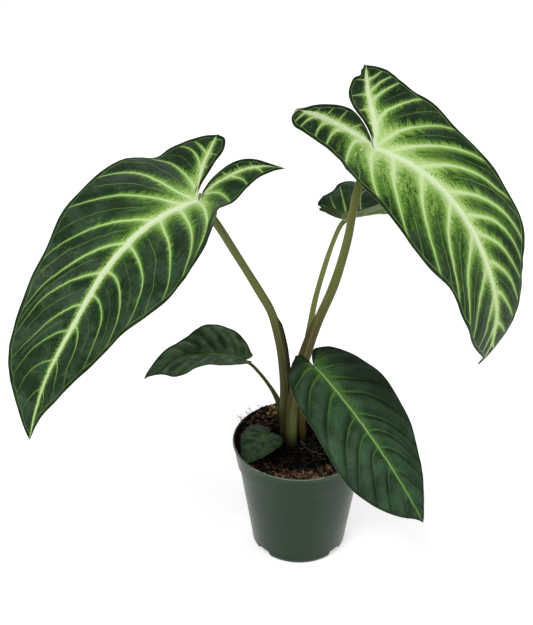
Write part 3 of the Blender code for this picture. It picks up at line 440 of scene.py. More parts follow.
def rear_leaf():
    """The folded leaf behind the right one."""
    thin = [(2, 0.8, 0.5), (4, 0.8, 0.5)]
    near = Side(
        fold=38, curl=-4, fold_change=12,
        rib=[(0, 0), (9, -5), (15, -13), (19, -26), (22, -43)],
        inner=[(0, 0), (7, -6), (13, -15), (18, -27), (22, -43)],
        outer=[(22, -43), (25, -39), (27, -29), (29, -14), (36, 2), (42, 24), (43, 52), (38, 85),
               (30, 115), (20, 145), (9, 170), (0, 188)],
        veins=[(-26, [(22, -23)], -21), (-12, [(20, -10)], -6), (2, [(14, 7), (30, 16)], 36),
               (20, [(14, 27), (30, 40)], 64), (45, [(15, 53), (30, 68)], 92),
               (72, [(13, 80), (24, 94)], 116), (98, [(12, 106)], 138),
               (126, [(9, 134)], 158), (154, [(6, 161)], 174)], thin=thin, lobe_fold=20)
    far = Side(
        fold=33, curl=-10, fold_change=-21,
        rib=[(0, 0), (8, -2.5), (13, -6.5), (17, -13.5), (20.5, -20), (23, -25)],
        inner=[(0, 0), (6, -3.5), (11.8, -8.1), (14.4, -15.5), (18.3, -22.8), (23, -25)],
        outer=[(23, -25), (27, -22.5), (30, -18), (32.3, -14.2), (36, 0.6), (44.2, 9.7), (46.9, 20),
               (45, 28), (39, 34), (31, 40), (27, 48), (28, 62), (30, 82), (28, 105), (22, 132),
               (12, 160), (0, 188)],
        veins=[(-24, [(24, -23)], -21), (-9, [(19, -6)], -4), (2, [(14, 6), (30, 9)], 12),
               (20, [(14, 24), (26, 30)], 40), (45, [(12, 53)], 72), (72, [(12, 80)], 98),
               (98, [(12, 106)], 122), (126, [(8, 134)], 150), (154, [(5, 160)], 170)], thin=thin)
    stalk = Stalk(
        "stalk_rear", foot=(-6, 19),
        route=[(-6, 19, 132), (-1, 20, 165), (3, 24, 201), (8.6, 32, 252), (15.3, 40, 295),
               (28, 50, 342), (39, 57, 372), (44, 60, 381)],
        radii=[4.0, 3.8, 3.7, 3.6, 3.1, 2.8, 2.7, 2.6],
        wing=[(0, 0.6), (0.14, 1.0), (0.28, 1.6), (0.42, 1.8), (0.52, 0.4), (0.55, 0)],
        wing_heading=190)
    return Leaf("leaf_rear", "leaf", junction=(46, 60, 385), heading=22, pitch=6, length=188,
                droop=62, turn=8, lobe_reach=34, lobe_rise=25, ridge=2.4, wave=1.4, waves=4,
                look=SOFT, sides=(far, near), stalk=stalk)


def front_leaf():
    """The dark leaf that leans out over the rim at the front right."""
    right_hand = Side(
        fold=4, curl=-11, fold_change=-7,
        rib=[(0, 0), (5, -6), (9, -12), (12, -19)],
        inner=[(0, 0), (2, -8), (5, -16), (12, -19)],
        outer=[(12, -19), (24, -12), (38, 1), (47, 20), (52, 45), (54, 75), (57, 105), (53, 130),
               (41, 158), (23, 181), (6, 196), (0, 204)],
        veins=[(-7, [(14, -10)], -11), (1, [(13, 1), (26, 6)], 15), (12, [(14, 16), (30, 26)], 50),
               (36, [(13, 42), (30, 57), (44, 74)], 96), (71, [(15, 77), (33, 93)], 126),
               (91, [(14, 96), (30, 112)], 140), (110, [(13, 116), (24, 134)], 162),
               (134, [(12, 145)], 176), (162, [(7, 175)], 190)],
        thin=[(2, 0.7, 0.6), (3, 0.7, 0.6), (4, 0.8, 0.6), (6, 0.6, 0.5)])
    left_hand = Side(
        fold=5, curl=-7, fold_change=-4,
        rib=[(0, 0), (6, -5), (13, -10), (20, -15)],
        inner=[(0, 0), (4, -9), (11, -16), (20, -15)],
        outer=[(20, -15), (32, -9), (43, 5), (53, 25), (58, 50), (56, 82), (47, 118), (35, 147),
               (19, 176), (7, 194), (0, 204)],
        veins=[(-14, [(24, -8)], -3), (-2, [(14, -3), (26, -2)], 6), (6, [(18, 11), (34, 18)], 32),
               (17, [(14, 26), (30, 38), (45, 50)], 66), (38, [(12, 45), (27, 56), (40, 76)], 106),
               (68, [(10, 74), (25, 91), (36, 113)], 134), (90, [(12, 96), (24, 114)], 150),
               (111, [(11, 118), (20, 134)], 162), (137, [(10, 150)], 178), (164, [(6, 175)], 192)],
        thin=[(3, 0.7, 0.6), (4, 0.7, 0.6), (5, 0.6, 0.5)], dusk=0.85)
    stalk = Stalk(
        "stalk_front", foot=(3, 12),
        route=[(3, 12, 132), (2, 6, 156), (2, -4, 187), (5, -13, 213), (10, -24, 243),
               (12, -28, 252)],
        radii=[4.0, 3.6, 3.2, 2.8, 2.5, 2.4],
        wing=[(0, 0.8), (0.2, 0.8), (0.4, 0.5), (0.5, 0)], wing_heading=30)
    return Leaf("leaf_front", "leaf_dark", junction=(13, -30, 256), heading=-47, pitch=-23, roll=2,
                length=204, droop=36, turn=6, twist=6, lobe_reach=20, lobe_rise=25, ridge=1.8,
                wave=1.0, waves=4, look=QUIET, sides=(left_hand, right_hand), stalk=stalk)


def low_leaf():
    """The small arching leaf low on the left."""
    near = Side(
        fold=15, curl=-5, fold_change=-12,
        rib=[(0, 0), (4, -3), (7, -5), (10, -6)],
        inner=[(0, 0), (2, -5), (5, -8), (10, -6)],
        outer=[(10, -6), (17, -2), (27, 5), (33, 14), (32, 24), (31, 35), (34, 50), (37, 64),
               (35, 77), (26, 87), (16, 96), (5, 110), (0, 120)],
        veins=[(2, [(14, 6)], 14), (12, [(14, 19)], 34), (26, [(15, 35)], 52),
               (42, [(16, 51)], 68), (60, [(14, 70)], 84), (80, [(8, 89)], 99)])
    far = Side(
        fold=24, curl=0, fold_change=-2,
        rib=[(0, 0), (4, -2), (8, -4), (12, -5)],
        inner=[(0, 0), (3, -5), (7, -8), (12, -5)],
        outer=[(12, -5), (22, 3), (33, 16), (38, 31), (35, 46), (26, 60), (18, 77), (11, 95),
               (4, 112), (0, 120)],
        veins=[(2, [(14, 7)], 14), (10, [(16, 17)], 30), (21, [(16, 29)], 42), (33, [(15, 42)], 54),
               (46, [(13, 54)], 66), (62, [(9, 70)], 80), (82, [(6, 90)], 98)])
    stalk = Stalk(
        "stalk_low_left", foot=(-20, 25),
        route=[(-19, 25, 132), (-19.5, 23, 151), (-22, 20, 169), (-27.5, 16, 186), (-36, 11, 205),
               (-45, 6, 222), (-54, 2, 236), (-60, -1, 243)],
        radii=[3.2, 3.1, 2.9, 2.5, 2.1, 1.9, 1.8, 1.8],
        wing=[(0, 1.2), (0.14, 2.0), (0.28, 2.2), (0.42, 1.0), (0.52, 0)], wing_heading=160)
    return Leaf("leaf_low_left", "leaf_dark", junction=(-61, -1, 245), heading=174, pitch=15,
                roll=4, length=120, droop=57, turn=12, twist=-17, lobe_reach=12,
                lobe_rise=20, sway=(0, 3, 3.5, 4, 3, 0), ridge=1.2, wave=1.2, waves=3, look=PLAIN,
                sides=(near, far), stalk=stalk)


def small_leaf():
    """The young leaf that lies just over the soil at the front left."""
    veins = [(-9, [(8, -8)], -8), (1, [(10, 1)], 4), (8, [(11, 11)], 18), (17, [(9, 22)], 29),
             (28, [(5, 33)], 38)]
    right_hand = Side(
        fold=8, curl=-10, fold_change=-4,
        rib=[(0, 0), (1.5, -3), (2.5, -6), (3, -9)],
        inner=[(0, 0), (0.3, -3), (0.8, -6), (3, -9)],
        outer=[(3, -9), (10, -6), (18.3, -1.8), (22.5, 4), (24, 12), (19.5, 26), (12.5, 36),
               (4, 44.5), (0, 47)],
        veins=[(-6, [(8, -5)], -4)] + veins[1:])
    left_hand = Side(
        fold=8, curl=-10, fold_change=-4,
        rib=[(0, 0), (1.2, -5), (1.8, -10), (2, -15)],
        inner=[(0, 0), (0.2, -5), (0.3, -10), (2, -15)],
        outer=[(2, -15), (9, -17), (18.5, -12.5), (24, -3), (24.6, 7), (23, 17), (18.5, 26),
               (13, 36), (6, 43.5), (0, 47)], veins=veins)
    stalk = Stalk(
        "stalk_small", foot=(-29, -6),
        route=[(-29, -6, 132), (-30, -6.2, 135), (-32.5, -6.8, 139), (-35.5, -7.5, 143)],
        radii=[1.6, 1.5, 1.4, 1.3], wing=[(0, 0)], wing_heading=0)
    return Leaf("leaf_small", "leaf_dark", junction=(-38, -8, 148), heading=244, pitch=6,
                length=48, droop=26, turn=0, lobe_reach=14, lobe_rise=5, ridge=0.8, wave=0.8,
                waves=2, look=YOUNG, sides=(right_hand, left_hand), stalk=stalk)


# Numbers and curves

def unit(value):
    """The value, held between 0 and 1."""
    return np.clip(value, 0, 1)


def bell(distance, width):
    """1 at no distance, dying down over the width."""
    return np.exp(-(distance / width) ** 2)


def between(pair, share):
    """The value a share of the way from the first of a pair to the second."""
    return pair[0] + (pair[1] - pair[0]) * share


def smoothstep(value, low, high):
    t = unit((value - low) / (high - low))
    return t * t * (3 - 2 * t)


def polar(reach, angle):
    """x and y at a distance and an angle in radians."""
    return reach * math.cos(angle), reach * math.sin(angle)


def smooth_curve(points, per_span=12):
    """Samples of a Catmull-Rom curve through the points."""
    p = np.asarray(points, float)
    p = np.vstack([2 * p[0] - p[1], p, 2 * p[-1] - p[-2]])
    t = np.linspace(0.0, 1.0, per_span, endpoint=False)[:, None]
    spans = []
    for a, b, c, d in zip(p[:-3], p[1:-2], p[2:-1], p[3:]):
        spans.append(0.5 * (2 * b + (c - a) * t + (2 * a - 5 * b + 4 * c - d) * t ** 2
                            + (3 * b - a - 3 * c + d) * t ** 3))
    return np.vstack(spans + [p[-2:-1]])


def lengths_along(curve):
    steps = np.linalg.norm(np.diff(curve, axis=0), axis=1)
    return np.concatenate([[0.0], np.cumsum(steps)])


def at_lengths(curve, distances):
    """Points of a sampled curve at distances along it."""
    along = lengths_along(curve)
    return np.stack([np.interp(distances, along, curve[:, k]) for k in range(curve.shape[1])], -1)


def polyline_distance(points, line):
    """Distance from each point to a polyline."""
    best = np.full(len(points), 1e9)
    for a, b in zip(line[:-1], line[1:]):
        along = b - a
        t = unit(((points - a) @ along) / max(along @ along, 1e-12))
        best = np.minimum(best, np.linalg.norm(points - a - t[:, None] * along, axis=1))
    return best


def rotate(vector, axis, degrees):
    return np.array(Matrix.Rotation(math.radians(degrees), 3, tuple(axis))) @ vector


# Blades

class BladeSurface:
    """Bends a flat blade in space: the midrib is a space curve with a frame at each station."""

    def __init__(self, leaf):
        self.leaf = leaf
        heading = math.radians(leaf.heading)
        pitch = math.radians(leaf.pitch)
        ahead = np.array([math.cos(pitch) * math.cos(heading),
                          math.cos(pitch) * math.sin(heading), math.sin(pitch)])
        across = rotate(np.array([math.sin(heading), -math.cos(heading), 0.0]), ahead, leaf.roll)
        up = np.cross(across, ahead)
        start = (np.array(leaf.junction, float), ahead, across, up)
        forward = self.march(start, leaf.length, leaf.droop, leaf.lag, leaf.turn, leaf.twist)
        back = self.march(start, -leaf.lobe_reach, leaf.lobe_rise)
        stations = back[:0:-1] + forward
        self.y = np.array([s[0] for s in stations])
        self.frames = [np.array([s[k] for s in stations]) for k in range(1, 5)]

    def march(self, start, length, droop, lag=1.0, turn=0.0, twist=0.0):
        """Frames along one stretch of the midrib, each bent a little from the last."""
        place, ahead, across, up = start
        count = max(1, math.ceil(abs(length) / STATION))
        step = length / count
        stations = [(0.0, place, ahead, across, up)]
        for k in range(count):
            bend = -droop * lag * ((k + 0.5) / count) ** (lag - 1) / count
            before = ahead
            ahead, up = rotate(ahead, across, bend), rotate(up, across, bend)
            middle = (before + ahead) / np.linalg.norm(before + ahead)
            ahead, across = rotate(ahead, up, turn / count), rotate(across, up, turn / count)
            across, up = rotate(across, ahead, twist / count), rotate(up, ahead, twist / count)
            place = place + middle * step
            stations.append(((k + 1) * step, place, ahead, across, up))
        return stations

    def frames_at(self, y):
        """Midrib points with their ahead, across and up directions."""
        return [np.stack([np.interp(y, self.y, f[:, k]) for k in range(3)], -1) for f in self.frames]

    def sway(self, y):
        offsets = np.asarray(self.leaf.sway, float)
        curve = smooth_curve(np.column_stack([np.linspace(0, 1, len(offsets)), offsets]))
        return np.interp(unit(y / self.leaf.length), curve[:, 0], curve[:, 1])

    def place(self, hand, flat, lift):
        """Points in space for flat points of one half, raised off the blade by lift."""
        x, y = flat[:, 0], flat[:, 1]
        centre, ahead, across, up = self.frames_at(y)
        side = self.leaf.sides[hand]
        past = np.clip(y - self.y[-1], 0, None) + np.clip(y - self.y[0], None, 0)
        centre = centre + ahead * past[:, None] + across * self.sway(y)[:, None]
        share = unit(y / self.leaf.length)
        back = unit(-y / self.leaf.lobe_reach)
        first = np.radians(side.fold + side.fold_change * share + side.lobe_fold * back)
        last = first + math.radians(side.curl) / 100.0 * x
        middle = 0.5 * (first + last)
        out = x * np.cos(middle)
        rise = x * np.sin(middle) + lift
        sign = 1.0 if hand == RIGHT else -1.0
        return centre + across * (sign * out)[:, None] + up * rise[:, None]


class HalfLayout:
    """Rows of flat points from the ribs to the margin, laid so that whole numbers are veins."""

    def __init__(self, side, tip):
        self.side = side
        self.rib = smooth_curve(side.rib)
        self.reach = lengths_along(self.rib)[-1]
        self.outer = smooth_curve(side.outer)
        self.margin_y = np.maximum.accumulate(self.outer[:, 1] + np.arange(len(self.outer)) * 1e-6)
        self.starts = np.array([-self.reach] + [v[0] for v in side.veins] + [tip], float)
        self.ends = np.array([side.outer[0][1]] + [v[2] for v in side.veins] + [tip], float)
        self.shares = np.linspace(0, 1, COLUMN_COUNT + 1) ** 1.15
        self.curves = [self.vein_curve(k) for k in range(len(self.starts))]

    def rib_points(self, starts):
        """Places on the ribs: along the midrib, or along the lobe's rib where negative."""
        starts = np.asarray(starts, float)
        on_midrib = np.column_stack([np.zeros_like(starts), starts])
        on_lobe = at_lengths(self.rib, np.clip(-starts, 0, None))
        return np.where((starts >= 0)[:, None], on_midrib, on_lobe)

    def margin_points(self, ys):
        ys = np.asarray(ys, float)
        return np.column_stack([np.interp(ys, self.margin_y, self.outer[:, 0]), ys])

    def vein_curve(self, number):
        """One vein's points; the first is the lobe's end and the last the tip, with no way out."""
        foot = self.rib_points([self.starts[number]])[0]
        tip = self.margin_points([self.ends[number]])[0]
        if number in (0, len(self.starts) - 1):
            return foot + (tip - foot) * self.shares[:, None]
        curve = smooth_curve([foot, *self.side.veins[number - 1][1], tip])
        return at_lengths(curve, self.shares * lengths_along(curve)[-1])

    def rows(self, starts):
        """Flat points, row by row, and each row's vein number and end."""
        starts = np.asarray(starts, float)
        number = np.interp(starts, self.starts, np.arange(len(self.starts), dtype=float))
        low = np.clip(number.astype(int), 0, len(self.starts) - 2)
        part = number - low
        curves = np.array(self.curves)
        flat = curves[low] * (1 - part)[:, None, None] + curves[low + 1] * part[:, None, None]
        ends = np.interp(number, np.arange(len(self.ends)), self.ends)
        t = self.shares[None, :, None]
        flat = flat + (self.rib_points(starts) - flat[:, 0])[:, None, :] * (1 - t)
        flat = flat + (self.margin_points(ends) - flat[:, -1])[:, None, :] * t
        return flat, number, ends


FIELDS = ("vein_number", "vein_gap", "row_mm", "rib_mm", "edge_mm", "core", "rib_core", "halo",
          "rib_halo", "power", "thin", "wash", "inner", "flat_x", "flat_y", "dusk", "valley")


def crumple(flat):
    """Smooth uneven dents over a flat blade, about -1 to 1."""
    rng = np.random.default_rng(CRUMPLE_SEED)
    total = np.zeros(len(flat))
    for _ in range(CRUMPLE_WAVES):
        turn = rng.uniform(0, 2 * np.pi)
        rate = 2 * np.pi / rng.uniform(*CRUMPLE_LENGTHS)
        total += np.sin(rate * (flat[:, 0] * np.cos(turn) + flat[:, 1] * np.sin(turn))
                        + rng.uniform(0, 2 * np.pi))
    return total / CRUMPLE_SCALE


def thin_strength(side, number, share):
    """How strongly the thin vein between two side veins shows."""
    table = np.zeros(len(side.veins) + 2)
    reach = np.full(len(side.veins) + 2, 0.5)
    for before, end, strength in side.thin:
        table[before + 1] = strength
        reach[before + 1] = end
    index = np.clip(number.astype(int), 0, len(table) - 1)
    rising = unit((share - 0.06) / 0.14)
    falling = unit((reach[index] + 0.02 - share) / 0.12)
    return table[index] * rising * falling


class BladeMesh:
    """Collects a blade's points, triangles and shading fields, no point made twice."""

    def __init__(self, leaf):
        self.leaf = leaf
        self.surface = BladeSurface(leaf)
        self.points = []
        self.fields = []
        self.ridges = []
        self.grooves = []
        self.faces = []
        self.count = 0

    def add(self, layout, hand, flat, number, gap, row_mm, share, margin_share, inner, down, height):
        """Adds rows of points with their fields; returns their numbers, row by row."""
        rows, columns = flat.shape[:2]
        points = flat.reshape(-1, 2)
        fields = self.shading(layout, hand, points, number, gap, row_mm, share, inner)
        lift, groove = self.relief(points, number, gap, fields["rib_mm"], share, margin_share,
                                   fields["edge_mm"])
        self.points.append(self.surface.place(hand, points, lift * height))
        self.ridges.append(self.ribs_below(number, gap, fields["rib_mm"], share, down))
        self.grooves.append(groove)
        self.fields.append(np.column_stack([fields[name] for name in FIELDS]))
        first = self.count
        self.count += len(points)
        return first + np.arange(rows * columns).reshape(rows, columns)

    def join(self, numbers, flip):
        """Quads between the rows, with the first and last row drawn together to one point."""
        numbers[0, :] = numbers[0, 0]
        numbers[-1, :] = numbers[-1, 0]
        a, b = numbers[:-1, :-1], numbers[:-1, 1:]
        c, d = numbers[1:, 1:], numbers[1:, :-1]
        quads = np.stack([a, b, c, d], -1).reshape(-1, 4)
        self.faces.append(quads[:, ::-1] if flip else quads)

    def shading(self, layout, hand, flat, number, gap, row_mm, share, inner):
        """The fields that the leaf's material reads, at flat points."""
        look, side, tip = self.leaf.look, layout.side, self.leaf.tip
        ribs = np.vstack([layout.rib[::-4], layout.rib_points(np.arange(0, tip, 8.0)), [[0.0, tip]]])
        edge = np.vstack([layout.outer[::3], layout.outer[-1:]])
        sinus = smooth_curve(side.inner, 4)
        from_rib = polyline_distance(flat, ribs)
        from_edge = np.minimum(polyline_distance(flat, edge), polyline_distance(flat, sinus))
        from_junction = np.linalg.norm(flat, axis=1)
        behind = flat[:, 1] < 0
        down = unit(flat[:, 1] / tip)
        lobe = unit(flat[:, 1] / side.rib[-1][1])
        at_junction = bell(from_junction, JOIN_REACH)
        widen = np.where(behind, 1.0, side.widen)
        lobe_end = np.where(behind, np.clip((from_edge - 1.0) / 7.0, 0.12, 1), 1.0)
        lobe_end = np.maximum(lobe_end, at_junction)
        rib_core = np.where(behind, between(look.lobe_core, lobe),
                            np.interp(down, RIB_KNOTS, look.rib_core) * side.widen)
        joint = 0.5 * (look.rib_core[0] + look.lobe_core[0])
        rib_core = (rib_core + (joint - rib_core) * at_junction) * lobe_end
        flush = 1 + look.flush * bell(from_junction, look.flush_reach)
        rib_halo = between(look.rib_halo, down ** 0.7) * flush * (1 - look.lobe_fade * lobe ** 0.6)
        rib_halo = rib_halo * (1 - (1 - look.rib_end) * smoothstep(down, 0.75, 1.0))
        before_collector = np.clip((from_edge - COLLECTOR) / COLLECTOR, 0.12, 1)
        narrower = 1 - look.tip_fade * down
        core = between(look.vein_core, share ** 0.8) * narrower * (1 - 0.6 * inner)
        halo = between(look.vein_halo, share ** 0.7) * flush * narrower * (1 - 0.45 * inner)
        power = (1 - 0.55 * share) * (1 - 0.35 * inner) * (1 - 0.4 * look.lobe_fade * lobe)
        low, high = side.spread
        wash = look.wash * bell(from_junction, 1.25 * look.flush_reach)
        wash = wash * unit((high - share) / (high - low)) ** 1.3
        wash = wash * (1 - 0.9 * smoothstep(lobe, 0, 0.6)) * (1 - 0.35 * inner)
        inside = np.maximum(smoothstep(from_edge, 1.0, 13.0), bell(from_junction, 28.0))
        dusk = side.dusk * np.maximum(smoothstep(share, 0.05, 0.70), 0.8 * inner)
        # which side of each side vein takes the folds' painted shade
        part = number % 1.0 if hand == RIGHT else 1 - number % 1.0
        valley = smoothstep(part, 0.50, 0.92) * (1 - bell(from_rib, 8.0)) * (1 - inner)
        return {
            "vein_number": number, "vein_gap": gap, "row_mm": row_mm, "rib_mm": from_rib,
            "edge_mm": from_edge, "inner": inner,
            "flat_x": flat[:, 0] + HAND_OFFSET * hand, "flat_y": flat[:, 1],
            "core": core * (1 - 0.35 * lobe) * before_collector,
            "rib_core": rib_core,
            "halo": halo * (1 - 0.75 * look.lobe_fade * lobe ** 0.6),
            "rib_halo": rib_halo * lobe_end * widen,
            "power": power * before_collector * (1 - 0.85 * look.tip_fade * down ** 1.3),
            "thin": thin_strength(side, number, share) * (1 - inner) * look.net,
            "wash": wash * inside,
            "dusk": dusk * (1 - 0.75 * smoothstep(down, 0.25, 0.75)),
            "valley": valley * look.valley * (1 - 0.5 * smoothstep(share, 0.7, 1.0))}

    def relief(self, flat, number, gap, rib_mm, share, margin_share, edge):
        """Lift of the upper face, with the margin's waves, and the depth of its furrows."""
        leaf, look = self.leaf, self.leaf.look
        from_vein = np.abs((number + 0.5) % 1.0 - 0.5) * gap
        swell = (1 - bell(from_vein, 6.5)) * (1 - bell(rib_mm, 7.0)) * np.clip(edge / 9.0, 0.15, 1)
        groove = bell(from_vein, 1.5) * unit(1 - share) ** 0.5
        ripple = np.sin(2 * np.pi * leaf.waves * margin_share) * share ** 3
        fade = unit(np.minimum(4 * (1 - margin_share), 6 * margin_share))
        fine = 0.35 * np.sin(2 * np.pi * number + 1.1) * share ** 2 * fade
        furrows = np.cos(6 * np.pi * number) * unit(gap / 12.0)
        furrows = furrows * (1 - bell(rib_mm, 9.0)) * unit(edge / 9.0)
        lift = look.quilt * swell + look.furrow * furrows + leaf.wave * ripple * fade + fine
        lift = lift + look.crumple * crumple(flat) * unit(edge / 8.0)
        return lift, look.relief * np.maximum(groove, bell(rib_mm, 2.2))

    def ribs_below(self, number, gap, rib_mm, share, down):
        """How far the ribs stand out under the blade."""
        from_vein = np.abs((number + 0.5) % 1.0 - 0.5) * gap
        main = self.leaf.ridge * np.clip(1 - down, 0.12, 1) * bell(rib_mm, 2.4)
        side = 0.7 * self.leaf.look.relief * (1 - 0.8 * share) * bell(from_vein, 1.6)
        return np.maximum(main, side)

    def outer_half(self, hand, layout, starts, midrib):
        """One half from the lobe's end to the tip, out to the outer margin."""
        flat, number, ends = layout.rows(starts)
        rows, columns = flat.shape[:2]
        step = np.gradient(flat, axis=0)
        rate = np.maximum(np.gradient(number), 1e-4)
        tangent = np.gradient(flat, axis=1)
        tangent = tangent / np.maximum(np.linalg.norm(tangent, axis=2), 1e-6)[..., None]
        gap = np.abs(step[..., 0] * tangent[..., 1] - step[..., 1] * tangent[..., 0])
        gap = gap / rate[:, None]
        lengths = np.linalg.norm(np.diff(flat, axis=1), axis=2)
        row_mm = np.concatenate([np.zeros((rows, 1)), np.cumsum(lengths, axis=1)], axis=1)
        along_margin = (ends - layout.ends[0]) / (layout.ends[-1] - layout.ends[0])
        down = unit(flat[..., 1].ravel() / self.leaf.tip)
        numbers = self.add(layout, hand, flat, np.repeat(number, columns), gap.ravel(),
                           row_mm.ravel(), np.tile(layout.shares, rows),
                           np.repeat(along_margin, columns), np.zeros(rows * columns), down, 1.0)
        for row, start in enumerate(starts):
            if start in midrib:
                numbers[row, 0] = midrib[start]
        midrib.update({start: numbers[row, 0] for row, start in enumerate(starts) if start >= 0})
        self.join(numbers, hand == LEFT)
        return {start: numbers[row, 0] for row, start in enumerate(starts) if start <= 0}

    def inner_half(self, hand, layout, ribs):
        """The lobe from its rib in to the sinus."""
        starts = np.array(sorted(ribs))
        edge = smooth_curve(layout.side.inner)
        feet = layout.rib_points(starts)
        tips = at_lengths(edge, -starts / layout.reach * lengths_along(edge)[-1])
        t = np.linspace(0, 1, INNER_COLUMN_COUNT + 1)
        flat = feet[:, None, :] * (1 - t)[None, :, None] + tips[:, None, :] * t[None, :, None]
        rows, columns = flat.shape[:2]
        none = np.zeros(rows * columns)
        width = np.linalg.norm(tips - feet, axis=1)
        share = np.tile(t, rows)
        number = np.repeat(starts / INNER_VEIN_GAP + 40.0, columns) - 0.35 * share
        numbers = self.add(layout, hand, flat, number, none + INNER_VEIN_GAP,
                           (width[:, None] * t[None, :]).ravel(), share, none, none + 1.0, none,
                           unit(width / 12.0).repeat(columns))
        for row, start in enumerate(starts):
            numbers[row, 0] = ribs[start]
        self.join(numbers, hand == RIGHT)

    def build(self):
        tip = self.leaf.tip
        forward = list(np.linspace(0.0, tip, max(8, round(tip / ROW_SPACING)) + 1))
        midrib = {}
        for hand in (LEFT, RIGHT):
            layout = HalfLayout(self.leaf.sides[hand], tip)
            count = max(4, round(layout.reach / ROW_SPACING))
            back = list(np.linspace(-layout.reach, 0.0, count, endpoint=False))
            ribs = self.outer_half(hand, layout, back + forward, midrib)
            self.inner_half(hand, layout, ribs)
        return self.solid()

    def solid(self):
        """Upper and lower skins, joined round the margin."""
        quads = np.vstack(self.faces)
        used = np.unique(quads)
        renumber = np.full(self.count, -1)
        renumber[used] = np.arange(len(used))
        points = np.vstack(self.points)[used]
        fields = np.vstack(self.fields)[used]
        ridges = np.concatenate(self.ridges)[used]
        grooves = np.concatenate(self.grooves)[used]
        faces = [tuple(dict.fromkeys(q)) for q in renumber[quads].tolist()]
        faces = [f for f in faces if len(f) > 2]
        normals = vertex_normals(points, faces)
        half = BLADE_THICKNESS / 2
        top = points + normals * (half - grooves)[:, None]
        bottom = points - normals * (half + ridges + 0.4 * grooves)[:, None]
        count = len(points)
        lower = [tuple(v + count for v in reversed(f)) for f in faces]
        directed = {(f[k], f[(k + 1) % len(f)]) for f in faces for k in range(len(f))}
        wall = [(b, a, a + count, b + count) for a, b in sorted(directed)
                if (b, a) not in directed]
        slots = [0] * len(faces) + [1] * len(lower) + [1] * len(wall)
        return np.vstack([top, bottom]), faces + lower + wall, slots, np.vstack([fields, fields])


def vertex_normals(points, faces):
    normals = np.zeros_like(points)
    for size in (3, 4):
        chosen = np.array([f for f in faces if len(f) == size])
        if len(chosen) == 0:
            continue
        a, b, c, d = [points[chosen[:, k]] for k in (0, 1, 2, size - 1)]
        facing = np.cross(c - a, d - b) if size == 4 else np.cross(b - a, c - a)
        for k in range(size):
            np.add.at(normals, chosen[:, k], facing)
    return normals / np.maximum(np.linalg.norm(normals, axis=1), 1e-12)[:, None]


# Meshes and materials

def link_object(name, data):
    thing = bpy.data.objects.new(name, data)
    bpy.context.scene.collection.objects.link(thing)
    return thing


def make_mesh(name, points, faces, materials, slots=None, crease=60.0, fields=None):
    """A shown object from points in millimetres, with fields that its materials read."""
    mesh = bpy.data.meshes.new(name)
    mesh.from_pydata((np.asarray(points, float) * MM).tolist(), [], faces)
    for material in materials:
        mesh.materials.append(material)
    if slots is not None:
        mesh.polygons.foreach_set("material_index", slots)
    mesh.shade_smooth()
    mesh.set_sharp_from_angle(angle=math.radians(crease))
    for field, values in (fields or {}).items():
        attribute = mesh.attributes.new(field, "FLOAT", "POINT")
        attribute.data.foreach_set("value", np.asarray(values, np.float32))
    return link_object(name, mesh)


def goes_with(thing):
    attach(thing, "root")


def stands_for(thing, node):
    goes_with(thing)
    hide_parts(node)


class Shading:
    """Small helpers to lay out a material's nodes; paint() adds a colour to those so far."""

    def __init__(self, name, colour=None):
        self.material = bpy.data.materials.new(name)
        self.material.use_nodes = True
        self.tree = self.material.node_tree
        self.shader = self.tree.nodes["Principled BSDF"]
        self.known = {}
        self.colour = colour

    def feed(self, value, socket):
        if isinstance(value, (int, float)):
            socket.default_value = value
        elif isinstance(value, tuple):
            socket.default_value = (*value, 1.0) if len(value) == 3 else value
        else:
            self.tree.links.new(value, socket)

    def node(self, kind, inputs, **settings):
        """A new node with its settings, fed through its first or its named inputs."""
        node = self.tree.nodes.new("ShaderNode" + kind)
        for name, value in settings.items():
            setattr(node, name, value)
        for key, value in inputs.items():
            self.feed(value, node.inputs[key])
        return node

    def read(self, name):
        """A number stored on the mesh's points."""
        if name not in self.known:
            self.known[name] = self.node("Attribute", {}, attribute_name=name).outputs["Fac"]
        return self.known[name]

    def read_all(self, *names):
        return [self.read(name) for name in names]

    def math(self, operation, *values):
        return self.node("Math", dict(enumerate(values)), operation=operation).outputs[0]

    def times(self, a, b):
        return self.math("MULTIPLY", a, b)

    def ramp(self, value, low, high, to_low=0.0, to_high=1.0, kind="SMOOTHSTEP"):
        """Maps low..high to to_low..to_high, held at the ends."""
        inputs = dict(enumerate((value, low, high, to_low, to_high)))
        return self.node("MapRange", inputs, interpolation_type=kind).outputs[0]

    def mix(self, share, first, second):
        return self.node("Mix", {0: share, 6: first, 7: second}, data_type="RGBA").outputs[2]

    def paint(self, tint, share):
        """Lays a tint over the colour so far."""
        self.colour = self.mix(share, self.colour, tint)

    def join(self, *values):
        return self.node("CombineXYZ", dict(enumerate(values))).outputs[0]

    def place(self, scale=(1.0, 1.0, 1.0)):
        """Object coordinates in metres times a scale."""
        mapping = self.node("Mapping", {"Vector": self.node("TexCoord", {}).outputs["Object"]})
        mapping.inputs["Scale"].default_value = scale
        return mapping.outputs[0]

    def noise(self, vector, scale, detail=2.0, roughness=0.5):
        inputs = {"Vector": vector, "Scale": scale, "Detail": detail, "Roughness": roughness}
        return self.node("TexNoise", inputs).outputs["Fac"]

    def cells(self, vector, scale, feature="F1"):
        inputs = {"Vector": vector, "Scale": scale}
        return self.node("TexVoronoi", inputs, feature=feature).outputs["Distance"]

    def bump(self, height, strength, distance):
        inputs = {"Strength": strength, "Distance": distance, "Height": height}
        self.feed(self.node("Bump", inputs).outputs[0], self.shader.inputs["Normal"])

    def finish(self, roughness, specular):
        self.feed(self.colour, self.shader.inputs["Base Color"])
        self.feed(roughness, self.shader.inputs["Roughness"])
        self.feed(specular, self.shader.inputs["Specular IOR Level"])
        return self.material


